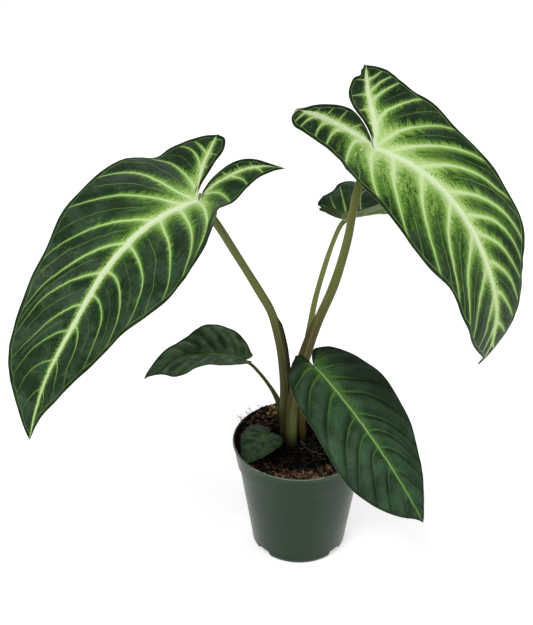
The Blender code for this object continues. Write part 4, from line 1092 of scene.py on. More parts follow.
def vein_lines(s, streak, rib_streak, wobble):
    """Masks from the vein fields: pale lines, glow, thin veins and the ribs' line."""
    number, gap, core = s.read_all("vein_number", "vein_gap", "core")
    rib_core, rib_mm = s.read_all("rib_core", "rib_mm")
    to_vein = s.times(s.math("PINGPONG", number, 0.5), gap)
    shifted = s.math("MULTIPLY_ADD", wobble, 0.22, s.math("SUBTRACT", number, 0.11))
    to_half = s.times(s.math("SUBTRACT", 0.5, s.math("PINGPONG", shifted, 0.5)), gap)
    line = s.ramp(s.math("DIVIDE", to_vein, core), 0.30, 1.35, 1.0, 0.0)
    ragged = s.math("MULTIPLY_ADD", rib_streak, -0.45, s.math("DIVIDE", rib_mm, rib_core))
    rib_line = s.ramp(ragged, 0.15, 0.95, 1.0, 0.0)
    beyond = s.math("SUBTRACT", to_vein, s.times(core, 0.6))
    uneven = s.math("MULTIPLY_ADD", streak, 1.6, 0.2)
    reach = s.math("DIVIDE", beyond, s.times(s.read("halo"), uneven))
    rib_beyond = s.math("SUBTRACT", rib_mm, s.times(rib_core, 0.65))
    rib_uneven = s.math("MULTIPLY_ADD", rib_streak, 1.7, 0.15)
    rib_reach = s.math("DIVIDE", rib_beyond, s.times(s.read("rib_halo"), rib_uneven))
    glow = s.times(s.ramp(reach, 0.0, 1.0, 1.0, 0.0, "LINEAR"), s.read("power"))
    rib_glow = s.ramp(rib_reach, 0.0, 1.0, 1.0, 0.0, "LINEAR")
    both = s.math("SUBTRACT", s.math("ADD", glow, rib_glow), s.times(glow, rib_glow))
    thin = s.times(s.ramp(to_half, 0.12, 0.62, 1.0, 0.0), s.read("thin"))
    return line, rib_line, both, thin


def lobe_shade(s, leaf):
    """How much painted shade darkens a lobe, from the junction to the lobe's end."""
    end = min(side.rib[-1][1] for side in leaf.sides)
    return s.ramp(s.read("flat_y"), 0.55 * end, -0.05 * end, leaf.look.lobe_shade, 0.0)


def leaf_top(leaf):
    """Upper face: dark green, near-white veins, and a yellow-green glow feathered off them."""
    look, tip = leaf.look, leaf.tip
    s = Shading(leaf.name + "_upper")
    flat_x, flat_y, inner = s.read_all("flat_x", "flat_y", "inner")
    number, row_mm = s.read_all("vein_number", "row_mm")
    rib_mm, edge_mm = s.read_all("rib_mm", "edge_mm")
    flat = s.join(flat_x, flat_y)
    from_vein = s.math("PINGPONG", number, 0.5)
    across = s.join(s.times(row_mm, 0.85), s.times(number, 1.6), inner)
    streak = s.ramp(s.noise(across, 1.0, 3.0, 0.6), 0.30, 0.70)
    off_rib = s.join(s.times(flat_y, 0.80), s.times(rib_mm, 0.10), flat_x)
    rib_streak = s.ramp(s.noise(off_rib, 1.0, 3.0, 0.6), 0.30, 0.70)
    strands = s.noise(s.join(s.times(row_mm, 0.06), s.times(number, 6.0)), 1.0, 4.0, 0.65)
    wobble = s.noise(flat, 0.05, 3.0, 0.6)
    mottle = s.noise(flat, 0.42, 4.0, 0.7)
    patches = s.noise(flat, max(0.045, 6.0 / tip), 3.0, 0.6)
    net = s.cells(flat, 0.15, "DISTANCE_TO_EDGE")
    grain = s.noise(flat, 1.6, 3.0, 0.6)
    dents = s.noise(flat, 0.28, 3.0, 0.55)
    line, rib_line, glow, thin = vein_lines(s, streak, rib_streak, wobble)

    speckles = s.ramp(mottle, 0.30, 0.60, 1.0 - look.speckle, 1.0 + 0.3 * look.speckle)
    wash = s.times(s.read("wash"), speckles)
    wash = s.times(wash, s.ramp(strands, 0.38, 0.60, 0.34, 1.15))
    wash = s.times(wash, s.ramp(from_vein, 0.08, 0.5, 1.1, 0.74))
    wash = s.times(wash, s.ramp(wobble, 0.35, 0.62, 0.70, 1.05))
    glow = s.math("MAXIMUM", s.times(glow, look.power), s.times(wash, 0.72))
    glow = s.times(glow, s.ramp(mottle, 0.3, 0.7, 0.86, 1.12))

    # the skin's two colours in patches; the lighter is partly painted sheen on some looks
    s.colour = s.mix(s.ramp(patches, 0.40, 0.62), look.dark, look.light)
    s.paint(look.light, s.ramp(strands, 0.55, 0.75, 0.0, 0.4 * look.net))
    # painted highlight on the swells between the side veins, stronger the deeper the quilting
    s.paint(look.light, s.ramp(from_vein, 0.05, 0.45, 0.0, 0.10 * look.quilt))
    s.paint(DEEP, s.ramp(flat_y, -0.1 * tip, 0.6 * tip, 0.6 * look.net, 0.0))
    s.paint(DEEP, s.ramp(mottle, 0.25, 0.53, 0.55, 0.0))
    # painted shade in the folds on one side of each side vein
    if look.valley:
        s.paint(DEEP, s.read("valley"))
    s.paint(LIME, s.times(s.ramp(net, 0.0, 0.07, 1.0, 0.0),
                          s.ramp(wobble, 0.45, 0.65, 0.0, 0.30 * look.net)))
    s.paint(MID_GREEN, s.ramp(glow, 0.02, 0.34))
    s.paint(LIME, s.ramp(glow, 0.26, 0.66))
    s.paint(PALE_LIME, s.ramp(glow, 0.66, 1.0))

    strength = s.ramp(s.read("power"), 0.25, 0.95, kind="LINEAR")
    fading = s.ramp(flat_y, 0.4 * tip, tip, look.line, look.line * (1 - 0.7 * look.tip_fade))
    s.paint(s.mix(strength, look.vein_end, look.vein), s.times(line, fading))
    s.paint(LIME, s.times(thin, 0.9))
    # painted shade on the strip outside the collector vein, where the margin turns down
    collector = s.math("MULTIPLY_ADD", from_vein, -2.2, 3.9)
    inside = s.math("SUBTRACT", edge_mm, collector)
    s.paint(DEEP, s.ramp(inside, -0.8, 0.3, 0.50, 0.0))
    s.paint(LIME, s.ramp(s.math("ABSOLUTE", inside), 0.15, 0.65, 0.62 * look.net, 0.0))
    at_tip = s.ramp(flat_y, 0.55 * tip, 0.99 * tip, look.rib_line, look.rib_end * look.rib_line)
    s.paint(look.rib, s.times(rib_line, at_tip))
    s.paint(LIME, s.ramp(rib_mm, 0.15, 0.6, 0.18 * look.rib_line, 0.0))
    s.paint(DEEP, s.ramp(edge_mm, 0.2, 1.1, 0.50, 0.0))
    # painted shade over the lobes
    if look.lobe_shade:
        s.paint(DEEP, lobe_shade(s, leaf))
    # painted shade towards the margin, where the half curves away from the light
    if max(side.dusk for side in leaf.sides):
        s.paint(DEEP, s.read("dusk"))

    height = s.math("ADD", s.times(grain, 0.4), s.times(net, 0.7))
    s.bump(s.math("MULTIPLY_ADD", dents, 1.6 * look.crumple, height), 0.35, 0.0004)
    return s.finish(s.ramp(grain, 0.3, 0.7, look.rough - 0.05, look.rough + 0.09), look.shine)


def leaf_under(leaf):
    """Lower face: duller and paler, with its ribs lighter."""
    s = Shading(leaf.name + "_lower")
    flat = s.join(*s.read_all("flat_x", "flat_y"))
    streak = s.noise(flat, 0.4, 2.0)
    line, rib_line, glow, thin = vein_lines(s, streak, streak, streak)
    patches = s.noise(flat, 0.05, 3.0, 0.6)
    s.colour = s.mix(s.ramp(patches, 0.3, 0.7), UNDER, UNDER_DARK)
    for mask, strength in ((glow, 0.35), (line, 0.75), (thin, 0.5)):
        s.paint(UNDER_RIB, s.times(mask, strength))
    s.paint(UNDER_RIB, rib_line)
    # painted shade over the lobes' undersides
    if leaf.look.lobe_shade:
        s.paint(DARK, lobe_shade(s, leaf))
    s.bump(s.noise(flat, 1.4, 3.0), 0.25, 0.0004)
    return s.finish(s.ramp(patches, 0.3, 0.7, 0.5, 0.62), 0.08)


def dress_blade(leaf):
    points, faces, slots, fields = BladeMesh(leaf).build()
    low, high = [np.array(corner) / MM for corner in CAD_BOX]
    points = np.clip(points, low + BOX_MARGIN, high - BOX_MARGIN)
    thing = make_mesh(leaf.name + "_blade", points, faces, [leaf_top(leaf), leaf_under(leaf)],
                      slots, fields=dict(zip(FIELDS, fields.T)))
    stands_for(thing, leaf.name)


# Stalks

# Foot, lower part, upper part, sheath, and the heights between which it turns green
STALK_COLOURS = {
    # the left stalk's near-black sheath colour is its own dark brown darkened with painted shade
    "stalk_left": ((0.030, 0.030, 0.009), (0.055, 0.045, 0.013), (0.140, 0.155, 0.040),
                   (0.010, 0.010, 0.002), (0.30, 0.62)),
    "stalk_right": ((0.150, 0.185, 0.060), (0.100, 0.078, 0.024), (0.118, 0.138, 0.028),
                    (0.050, 0.044, 0.012), (0.38, 0.60)),
    "stalk_rear": ((0.055, 0.046, 0.012), (0.052, 0.044, 0.011), (0.185, 0.225, 0.058),
                   (0.012, 0.015, 0.003), (0.38, 0.58)),
    "stalk_front": ((0.180, 0.110, 0.022), (0.110, 0.085, 0.022), (0.085, 0.110, 0.030),
                    (0.150, 0.070, 0.014), (0.30, 0.70)),
    "stalk_low_left": ((0.055, 0.070, 0.018), (0.050, 0.062, 0.014), (0.055, 0.072, 0.014),
                       (0.012, 0.020, 0.004), (0.30, 0.70)),
    "stalk_small": ((0.040, 0.055, 0.018), (0.040, 0.055, 0.018), (0.045, 0.070, 0.022),
                    (0.050, 0.065, 0.020), (0.30, 0.70))}


def stalk_material(stalk):
    """Olive green above, brown and speckled lower down, with painted shade where it leaves the soil.
    """
    foot, low, high, sheath, turning = STALK_COLOURS[stalk.name]
    s = Shading(stalk.name + "_skin")
    along, turn, height, in_sheath = s.read_all("along_mm", "turn", "height", "sheath")

    def pattern(along_rate, turn_rate, detail, roughness):
        place = s.join(s.times(along, along_rate), s.times(turn, turn_rate))
        return s.noise(place, 1.0, detail, roughness)

    lines = pattern(0.03, 5.0, 4.0, 0.6)
    spots = pattern(0.35, 2.2, 3.0, 0.7)
    dots = pattern(0.9, 3.2, 2.0, 0.6)
    s.colour = s.mix(s.ramp(height, 0.07, 0.17), foot, low)
    s.paint(high, s.ramp(height, *turning))
    s.paint(STALK_LINE, s.times(s.ramp(lines, 0.50, 0.64), s.ramp(height, 0.0, 0.8, 0.30, 0.45)))
    s.paint(STALK_STREAK, s.ramp(lines, 0.34, 0.46, 0.50, 0.0))
    s.paint(STALK_BLOTCH, s.times(s.ramp(spots, 0.52, 0.66), s.ramp(height, 0.2, 1.0, 0.45, 0.20)))
    s.paint(STALK_DOT, s.ramp(dots, 0.54, 0.62, 0.0, 0.50))
    s.paint(STALK_PALE_DOT, s.ramp(dots, 0.38, 0.46, 0.35, 0.0))
    s.paint(sheath, in_sheath)
    lip = s.math("ABSOLUTE", s.math("SUBTRACT", in_sheath, 0.22))
    s.paint(SHEATH_LIP, s.ramp(lip, 0.02, 0.10, 0.55, 0.0))
    # painted shade where the stalk goes into the soil
    s.paint(STALK_FOOT_SHADE, s.ramp(along, 22.0, 46.0, 0.88, 0.0))
    s.bump(s.math("ADD", lines, s.times(spots, 0.5)), 0.5, 0.0006)
    return s.finish(s.ramp(spots, 0.3, 0.7, 0.34, 0.5), 0.10)


def under_blade(leaf, surface, points):
    """Moves points near the junction down until they lie under the blade's V."""
    near = (surface.y > NEAR_JUNCTION[0]) & (surface.y < NEAR_JUNCTION[1])
    centres, ahead, across, up = [f[near] for f in surface.frames]
    away = points[:, None, :] - centres[None, :, :]
    nearest = np.argmin(np.abs(np.einsum("pks,ks->pk", away, ahead)), axis=1)
    offset = away[np.arange(len(points)), nearest]
    aside = np.einsum("ps,ps->p", offset, across[nearest])
    above = np.einsum("ps,ps->p", offset, up[nearest])
    folds = np.where(aside > 0, leaf.sides[RIGHT].fold, leaf.sides[LEFT].fold)
    limit = np.abs(aside) * np.tan(np.radians(folds)) - JUNCTION_CLEARANCE
    close = np.linalg.norm(offset, axis=1) < JUNCTION_SPAN
    excess = np.where(close, np.clip(above - limit, 0, None), 0)
    return points - up[nearest] * excess[:, None]


def stalk_rings(leaf, surface):
    """Centres, directions, radii, wings, lengths and heights of a stalk's rings, foot to blade."""
    stalk = leaf.stalk
    radius = stalk.radii[-1]
    ends = []
    for y, below in ((0.0, radius + 0.2), (3.0 * radius, 0.55 * radius + 0.8)):
        centre, _, _, up = surface.frames_at(y)
        ends.append(centre - up * below)
    buried = [(*stalk.foot, z) for z in BURIED_HEIGHTS]
    curve = smooth_curve([*buried, *stalk.route[:-1], *ends], 24)
    total = lengths_along(curve)[-1]
    main = total - np.linalg.norm(ends[1] - ends[0])
    along = np.linspace(0, total, max(12, round(total / STALK_RING_SPACING)) + 1)
    centres = at_lengths(curve, along)
    ahead = np.gradient(centres, axis=0)
    ahead /= np.linalg.norm(ahead, axis=1)[:, None]
    above = unit((along - STALK_BURIED) / (main - STALK_BURIED))
    knots = np.linspace(0, 1, len(stalk.radii))
    radii = np.interp(above, knots, stalk.radii)
    radii = radii * np.interp(along, (main, total), (1.0, TOP_TAPER))
    wings = np.interp(above, *zip(*stalk.wing))
    return centres, ahead, radii, wings, along, above


def ring(centre, side, other, reaches):
    """Points round a centre at even angles, one for each reach."""
    points = []
    for k, reach in enumerate(reaches):
        angle = 2 * math.pi * k / len(reaches)
        points.append(centre + (side * math.cos(angle) + other * math.sin(angle)) * reach)
    return points


def tube_walls(rings, sides):
    """Quads between the rings of a tube."""
    faces = []
    for low in range(0, (rings - 1) * sides, sides):
        for k in range(sides):
            a, b = low + k, low + (k + 1) % sides
            faces.append((a, b, b + sides, a + sides))
    return faces


def tube_ends(rings, sides):
    """The two faces that close a tube."""
    return [tuple(reversed(range(sides))), tuple(range((rings - 1) * sides, rings * sides))]


def dress_stalk(leaf):
    stalk = leaf.stalk
    surface = BladeSurface(leaf)
    centres, ahead, radii, wings, along, above = stalk_rings(leaf, surface)
    out = np.array([*polar(1.0, math.radians(stalk.wing_heading)), 0.0])
    phases = np.random.default_rng(len(stalk.name)).uniform(0, 2 * np.pi, 4)
    points, turns, sheath = [], [], []
    for centre, direction, radius, wing, mm in zip(centres, ahead, radii, wings, along):
        side = out - direction * (out @ direction)
        side /= np.linalg.norm(side)
        swell = 0.12 * math.sin(mm / 23.0 + phases[2]) + 0.08 * math.sin(mm / 9.0 + phases[3])
        reaches = []
        for k in range(STALK_SIDES):
            angle = 2 * math.pi * k / STALK_SIDES
            from_wing = math.remainder(angle, 2 * math.pi)
            flange = math.exp(-(from_wing / 0.45) ** 2)
            ribs = 0.10 * math.sin(7 * angle + phases[0]) + 0.06 * math.sin(13 * angle + phases[1])
            reaches.append(radius + wing * flange + ribs + swell)
            turns.append(3.0 * math.cos(angle) + math.sin(angle) + 5)
            sheath.append(min(1.0, wing * 0.6) * math.exp(-(from_wing / 0.7) ** 2))
        points += ring(centre, side, np.cross(direction, side), reaches)
    rings = len(centres)
    fields = {"along_mm": np.repeat(along, STALK_SIDES), "turn": turns,
              "height": np.repeat(above, STALK_SIDES), "sheath": sheath}
    thing = make_mesh(stalk.name + "_skin", under_blade(leaf, surface, np.array(points)),
                      tube_ends(rings, STALK_SIDES) + tube_walls(rings, STALK_SIDES),
                      [stalk_material(stalk)], fields=fields)
    stands_for(thing, stalk.name)


# Pot

def wall_radius(z):
    share = (z - CORNER_HEIGHT) / (STEP_HEIGHT - CORNER_HEIGHT)
    return CORNER_RADIUS + (COLLAR_FOOT_RADIUS - LEDGE - CORNER_RADIUS) * share


def foot_profile():
    """From the pad in the middle over the channel and the foot to the rounded corner."""
    profile = [(PAD_RADIUS - 2, 0), (PAD_RADIUS, 0), (PAD_RADIUS + 0.6, 0.5),
               (PAD_RADIUS + 1.6, CHANNEL_DEPTH - 0.4), (PAD_RADIUS + 2.4, CHANNEL_DEPTH)]
    profile += [(radius, CHANNEL_DEPTH) for radius in (31, *DRAIN_RADII, CHANNEL_OUTER)]
    profile += [(CHANNEL_OUTER + 1.0, 0.3), (CHANNEL_OUTER + 1.6, 0), (FOOT_RADIUS - 2.5, 0)]
    for angle in range(0, 91, 6):
        turn = math.radians(angle)
        profile.append((FOOT_RADIUS + (CORNER_RADIUS - FOOT_RADIUS) * math.sin(turn),
                        CORNER_HEIGHT * (1 - math.cos(turn))))
    return profile


def collar_profile():
    """From the step under the collar up to its lip, and over the rolled rim."""
    profile = [(wall_radius(STEP_HEIGHT - 1.4) + 0.1, STEP_HEIGHT - 1.4),
               (COLLAR_FOOT_RADIUS - 1.5, STEP_HEIGHT - 0.7),
               (COLLAR_FOOT_RADIUS - 0.7, STEP_HEIGHT - 0.3),
               (COLLAR_FOOT_RADIUS - 0.15, STEP_HEIGHT + 0.4)]
    slope = (RIM_RADIUS - 1.0 - COLLAR_FOOT_RADIUS) / (COLLAR_HEIGHT - 4.0)
    for z in np.linspace(STEP_HEIGHT + 1.5, POT_HEIGHT - 4.0, 8):
        profile.append((COLLAR_FOOT_RADIUS + slope * (z - STEP_HEIGHT - 0.8), z))
    profile += [(RIM_RADIUS - 0.75, POT_HEIGHT - 3.2), (RIM_RADIUS - 0.15, POT_HEIGHT - 2.8),
                (RIM_RADIUS, POT_HEIGHT - 2.3), (RIM_RADIUS, POT_HEIGHT - 1.2)]
    half = RIM_THICKNESS / 2
    for angle in range(0, 181, 20):
        turn = math.radians(angle)
        profile.append((RIM_RADIUS - half + half * math.cos(turn),
                        POT_HEIGHT - 1.1 + 1.1 * math.sin(turn)))
    return profile


def inner_profile():
    """From under the rim down the inside and over the floor to the middle."""
    inner = wall_radius(FLOOR_TOP + 4) - WALL
    profile = [(RIM_RADIUS - RIM_THICKNESS - 0.2, POT_HEIGHT - 3.0),
               (COLLAR_FOOT_RADIUS - WALL, STEP_HEIGHT + 1.2),
               (wall_radius(STEP_HEIGHT - 2) - WALL, STEP_HEIGHT - 2),
               (inner + 1.2, NOTCH_HEIGHT + 8), (inner + 0.3, NOTCH_HEIGHT + 3),
               (inner, FLOOR_TOP + 4), (inner - 3, FLOOR_TOP)]
    return profile + [(radius, FLOOR_TOP)
                      for radius in (CHANNEL_OUTER + 1.0, *DRAIN_RADII[::-1], PAD_RADIUS)]


def pot_profile():
    """Radius and height round the pot's wall, with its corners rounded off."""
    wall = np.linspace(CORNER_HEIGHT + 1.2, STEP_HEIGHT - 2.4, 26)
    return (foot_profile() + [(wall_radius(z), z) for z in wall] + collar_profile()
            + inner_profile())


def notch_share(angle):
    """1 in the middle of a foot's notch, 0 away from it; angle in degrees from the front."""
    share = 0.0
    for notch in NOTCH_ANGLES:
        offset = abs(math.remainder(angle - notch, 360.0)) * math.radians(1) * FOOT_RADIUS
        edge = (NOTCH_WIDTH / 2 - offset) / 2.4
        share = max(share, min(1.0, max(0.0, edge + 0.5)))
    return share * share * (3 - 2 * share)


def in_drain(step):
    """Whether a step round the pot lies in a drain hole."""
    angle = 360.0 * (step + 0.5) / POT_SEGMENTS + 90.0
    offsets = [abs(math.remainder(angle - notch, 360.0)) for notch in NOTCH_ANGLES]
    return math.radians(min(offsets)) * sum(DRAIN_RADII) / 2 < DRAIN_WIDTH / 2


def notched(radius, z, inside, raised):
    """Height of a point near the foot, where a notch lifts the wall and floor over it."""
    if radius < CHANNEL_OUTER + 0.5 or z > NOTCH_HEIGHT + (2.0 if inside else 0.0):
        return z
    ceiling = NOTCH_HEIGHT + (1.6 + 0.1 * z if inside else 0.02 * z)
    return z + (ceiling - z) * raised


def painted_light_at(radius, z, inside):
    """1 in the painted highlight on the rim, -1 in the painted shade line under the collar, 0
    elsewhere.
    """
    if z > POT_HEIGHT - RIM_HIGHLIGHT_HEIGHT and radius > RIM_RADIUS - RIM_HIGHLIGHT_WIDTH:
        return 1.0
    return -1.0 if abs(z - STEP_HEIGHT) < SHADE_HEIGHT and not inside else 0.0


def pot_points(profile):
    """The two middles, then a ring for each place of the profile, and each point's painted highlight
    or shade.
    """
    top = max(range(len(profile)), key=lambda k: profile[k][1])
    points = [(0, 0, 0.0), (0, 0, FLOOR_TOP)]
    worn = [0.0, 0.0]
    steps = [2 * math.pi * k / POT_SEGMENTS for k in range(POT_SEGMENTS)]
    raised = [notch_share(math.degrees(angle) + 90.0) for angle in steps]
    for index, (radius, z) in enumerate(profile):
        worn += [painted_light_at(radius, z, index >= top)] * POT_SEGMENTS
        for angle, lift in zip(steps, raised):
            points.append((*polar(radius, angle), notched(radius, z, index > top, lift)))
    return points, worn


def pot_faces(profile):
    """Quads between the rings, left open and walled round where a drain hole goes through."""
    rings = len(profile)
    low_in, low_out = [k for k, p in enumerate(profile)
                       if p[0] in DRAIN_RADII and p[1] == CHANNEL_DEPTH]
    high_out, high_in = [k for k, p in enumerate(profile)
                         if p[0] in DRAIN_RADII and p[1] == FLOOR_TOP]
    faces = []

    def at(ring_number, step):
        return 2 + ring_number * POT_SEGMENTS + step % POT_SEGMENTS

    def add(*corners):
        faces.append(tuple(at(*corner) for corner in corners))

    for k in range(POT_SEGMENTS):
        n = k + 1
        faces.append((0, at(0, n), at(0, k)))
        faces.append((1, at(rings - 1, k), at(rings - 1, n)))
        hole = in_drain(k)
        for low in range(rings - 1):
            if not (hole and low in (low_in, high_out)):
                add((low, k), (low, n), (low + 1, n), (low + 1, k))
        if hole:
            add((low_in, k), (low_in, n), (high_in, n), (high_in, k))
            add((low_out, n), (low_out, k), (high_out, k), (high_out, n))
            if not in_drain(k - 1):
                add((low_out, k), (low_in, k), (high_in, k), (high_out, k))
            if not in_drain(n):
                add((low_in, n), (low_out, n), (high_out, n), (high_in, n))
    return faces


def pot_material():
    """Thin dark green plastic with dust and faint scuffs, a painted highlight along the rim and a
    painted shade line under the collar.
    """
    s = Shading("pot_plastic")
    worn = s.read("worn")
    dust = s.noise(s.place(), 90.0, 5.0, 0.65)
    scuffs = s.noise(s.place((1.0, 1.0, 0.12)), 160.0, 3.0, 0.7)
    s.colour = s.mix(s.ramp(dust, 0.25, 0.8, 0.25, 0.75), POT_DARK, POT_LIGHT)
    s.paint(POT_SCUFF, s.ramp(scuffs, 0.64, 0.80, 0.0, 0.22))
    # painted highlight along the rim, broken up by the dust
    s.paint(POT_RIM_HIGHLIGHT, s.times(worn, s.ramp(dust, 0.3, 0.7, 0.35, 0.9)))
    # painted shade in the line under the collar
    s.paint(POT_SHADE, s.ramp(worn, -1.0, 0.0, 0.8, 0.0))
    s.bump(dust, 0.05, 0.0004)
    s.feed(POT_TINT, s.shader.inputs["Specular Tint"])
    return s.finish(s.ramp(dust, 0.3, 0.7, 0.27, 0.33), s.ramp(worn, -1.0, 0.0, 0.03, 0.22))


def dress_pot():
    profile = pot_profile()
    points, worn = pot_points(profile)
    thing = make_mesh("pot_body", points, pot_faces(profile), [pot_material()], crease=50.0,
                      fields={"worn": worn})
    stands_for(thing, "pot")


# Soil

def soil_lumps():
    rng = np.random.default_rng(LUMP_SEED)
    reach = LUMP_REACH * np.sqrt(rng.random(LUMP_COUNT))
    angle = rng.random(LUMP_COUNT) * 2 * np.pi
    size = rng.uniform(3.5, 8.0, LUMP_COUNT)
    rise = rng.uniform(-0.8, 2.0, LUMP_COUNT)
    return zip(reach * np.cos(angle), reach * np.sin(angle), size, rise)


def crumb_waves():
    """Rates along x and y, phases and heights of the waves that make the crumbs."""
    rng = np.random.default_rng(CRUMB_SEED)
    angle = rng.uniform(0, 2 * np.pi, CRUMB_COUNT)
    length = np.exp(rng.uniform(np.log(2.2), np.log(11.0), CRUMB_COUNT))
    return list(zip(2 * np.pi / length * np.cos(angle), 2 * np.pi / length * np.sin(angle),
                    rng.uniform(0, 2 * np.pi, CRUMB_COUNT), 0.028 * length))


# Mounds as x, y, size and rise: one broad swell, four banks against the wall, then the lumps
MOUNDS = [(-42, 42, 30, 4.5), (-60, 39, 13, 10.0), (-37, 61, 13, 10.0), (-6, 72, 17, 7.5),
          (-71, 10, 11, 7.5), *soil_lumps()]
CRUMBS = crumb_waves()


def soil_height(x, y):
    """The soil's surface, as in the solid model, with banks and crumbs on it."""
    x, y = np.asarray(x, float), np.asarray(y, float)
    level = SOIL_LEVEL + (SOIL_EDGE_LEVEL - SOIL_LEVEL) * (np.hypot(x, y) / 70.0) ** 2
    for mound_x, mound_y, size, rise in MOUNDS:
        level = level + rise * np.exp(-((x - mound_x) ** 2 + (y - mound_y) ** 2) / (2 * size ** 2))
    for rate_x, rate_y, phase, height in CRUMBS:
        level = level + height * np.sin(rate_x * x + rate_y * y + phase)
    return level


def daylight(points):
    """How much light reaches the soil: little between the stalks and under the leaves."""
    place = np.asarray(points, float)
    return smoothstep(np.hypot(place[:, 0], place[:, 1]), *DAYLIGHT)


def soil_material():
    """Damp potting mix: near-black crumbs with brown and reddish bits."""
    s = Shading("soil_mix")
    place = s.place()
    crumbs = s.cells(place, 520.0)
    patches = s.noise(place, 60.0, 4.0, 0.65)
    fine = s.noise(place, 1300.0, 5.0, 0.7)
    s.colour = s.mix(s.ramp(patches, 0.35, 0.65), SOIL_DARK, SOIL_LIGHT)
    s.paint(SOIL_CRUMB, s.ramp(crumbs, 0.1, 0.5, 0.40, 0.0))
    s.paint(SOIL_GRAIN, s.ramp(fine, 0.58, 0.74, 0.0, 0.55))
    s.paint(SOIL_SHADE, s.ramp(s.read("daylight"), 0.0, 1.0, 0.94, 0.0))
    s.bump(s.math("ADD", crumbs, fine), 1.0, 0.0012)
    return s.finish(s.ramp(fine, 0.3, 0.7, 0.7, 0.95), 0.04)


def dress_soil():
    """One closed body: a crumbly top, and sides that follow the pot's wall down."""
    points = [(0, 0, float(soil_height(0, 0)))]
    angles = np.linspace(0, 2 * np.pi, BED_SIDES, endpoint=False)
    for radius in SOIL_RADIUS * np.linspace(1, 0, BED_RINGS, endpoint=False)[::-1]:
        x, y = radius * np.cos(angles), radius * np.sin(angles)
        points += list(zip(x, y, soil_height(x, y)))
    below = [(SOIL_RADIUS - 0.6, 121.0), (COLLAR_FOOT_RADIUS - WALL - 0.5, STEP_HEIGHT + 1.4),
             (wall_radius(STEP_HEIGHT - 2) - WALL - 0.5, STEP_HEIGHT - 2),
             (wall_radius(20) - WALL - 0.8, 20.0), (wall_radius(13) - WALL - 3.0, 13.0)]
    for radius, z in below:
        points += [(*polar(radius, angle), z) for angle in angles]
    points.append((0, 0, below[-1][1]))
    bottom = len(points) - 1
    faces = []
    for k in range(BED_SIDES):
        n = (k + 1) % BED_SIDES
        faces.append((0, 1 + k, 1 + n))
        for low in range(1, bottom - BED_SIDES, BED_SIDES):
            high = low + BED_SIDES
            faces.append((low + k, high + k, high + n, low + n))
        faces.append((bottom - BED_SIDES + n, bottom - BED_SIDES + k, bottom))
    thing = make_mesh("soil_bed", points, faces, [soil_material()], crease=180.0,
                      fields={"daylight": daylight(points)})
    stands_for(thing, "soil")


# Bits on the soil

def bit_material(name, dark, light, scale, roughness):
    s = Shading(name)
    shade = s.noise(s.place(), scale, 4.0, 0.6)
    s.colour = s.mix(s.ramp(shade, 0.35, 0.65), dark, light)
    unlit = tuple(0.15 * c for c in dark)
    s.paint(unlit, s.ramp(s.read("daylight"), 0.0, 1.0, 0.92, 0.0))
    s.bump(shade, 0.6, 0.0004)
    return s.finish(s.ramp(shade, 0.3, 0.7, roughness - 0.1, roughness + 0.05), 0.15)


def anywhere(rng):
    angle = rng.uniform(0, 2 * np.pi)
    return polar(BIT_REACH * math.sqrt(rng.random()), angle)


def near_front(rng):
    angle = math.radians(rng.uniform(-118, -52))
    return polar(rng.uniform(46, 67), angle)


def near_husk(rng):
    return rng.uniform(-36, -25), rng.uniform(46, 60)


def near_root(rng):
    return rng.uniform(0, 30), rng.uniform(-24, -2)


def chips(rng, count, size, flatness, place):
    """Irregular chips lying on the soil, each as points and faces."""
    template = bmesh.new()
    bmesh.ops.create_icosphere(template, subdivisions=1, radius=1.0)
    corners = np.array([v.co[:] for v in template.verts])
    triangles = [tuple(v.index for v in f.verts) for f in template.faces]
    template.free()
    parts = []
    for _ in range(count):
        x, y = place(rng)
        long = rng.uniform(*size)
        shape = corners * np.array([long, long * rng.uniform(0.15, 0.65), long * flatness])
        shape = shape * rng.uniform(0.72, 1.2, (len(corners), 1))
        turn = Matrix.Rotation(rng.uniform(0, 2 * math.pi), 3, "Z")
        tip = Matrix.Rotation(rng.uniform(-0.6, 0.6), 3, "X")
        shape = shape @ np.array(turn @ tip).T
        z = float(soil_height(x, y)) + long * flatness * rng.uniform(-0.1, 0.6)
        parts.append((shape + np.array([x, y, z]), triangles))
    return parts


def thread(path, radius):
    """A thin tube along a path, tapered to its ends."""
    path = np.asarray(path, float)
    ahead = np.gradient(path, axis=0)
    ahead /= np.maximum(np.linalg.norm(ahead, axis=1), 1e-9)[:, None]
    points = []
    for index, (centre, direction) in enumerate(zip(path, ahead)):
        side = np.cross(direction, (0.3, 0.2, 0.93))
        side /= max(np.linalg.norm(side), 1e-9)
        share = index / (len(path) - 1)
        thick = radius * (0.35 + 0.65 * math.sin(math.pi * (0.15 + 0.7 * share)))
        points += ring(centre, side, np.cross(direction, side), [thick] * THREAD_SIDES)
    return points, tube_walls(len(path), THREAD_SIDES) + tube_ends(len(path), THREAD_SIDES)


def lying_threads(rng, count, place, lengths, radii, rise=0.6):
    """Wriggling fibres that lie on the soil; one that ends too soon at the wall is left out."""
    parts = []
    for _ in range(count):
        x, y = place(rng)
        length = rng.uniform(*lengths)
        radius = rng.uniform(*radii)
        heading = rng.uniform(0, 2 * math.pi)
        steps = max(5, int(length / FIBRE_STEP))
        path = []
        for _ in range(steps):
            path.append((x, y, float(soil_height(x, y)) + radius + rise * abs(rng.normal())))
            heading += rng.normal() * 0.35
            x += math.cos(heading) * length / steps
            y += math.sin(heading) * length / steps
            if math.hypot(x, y) > FIBRE_REACH:
                break
        if len(path) > 3:
            parts.append(thread(smooth_curve(path, 3), radius))
    return parts


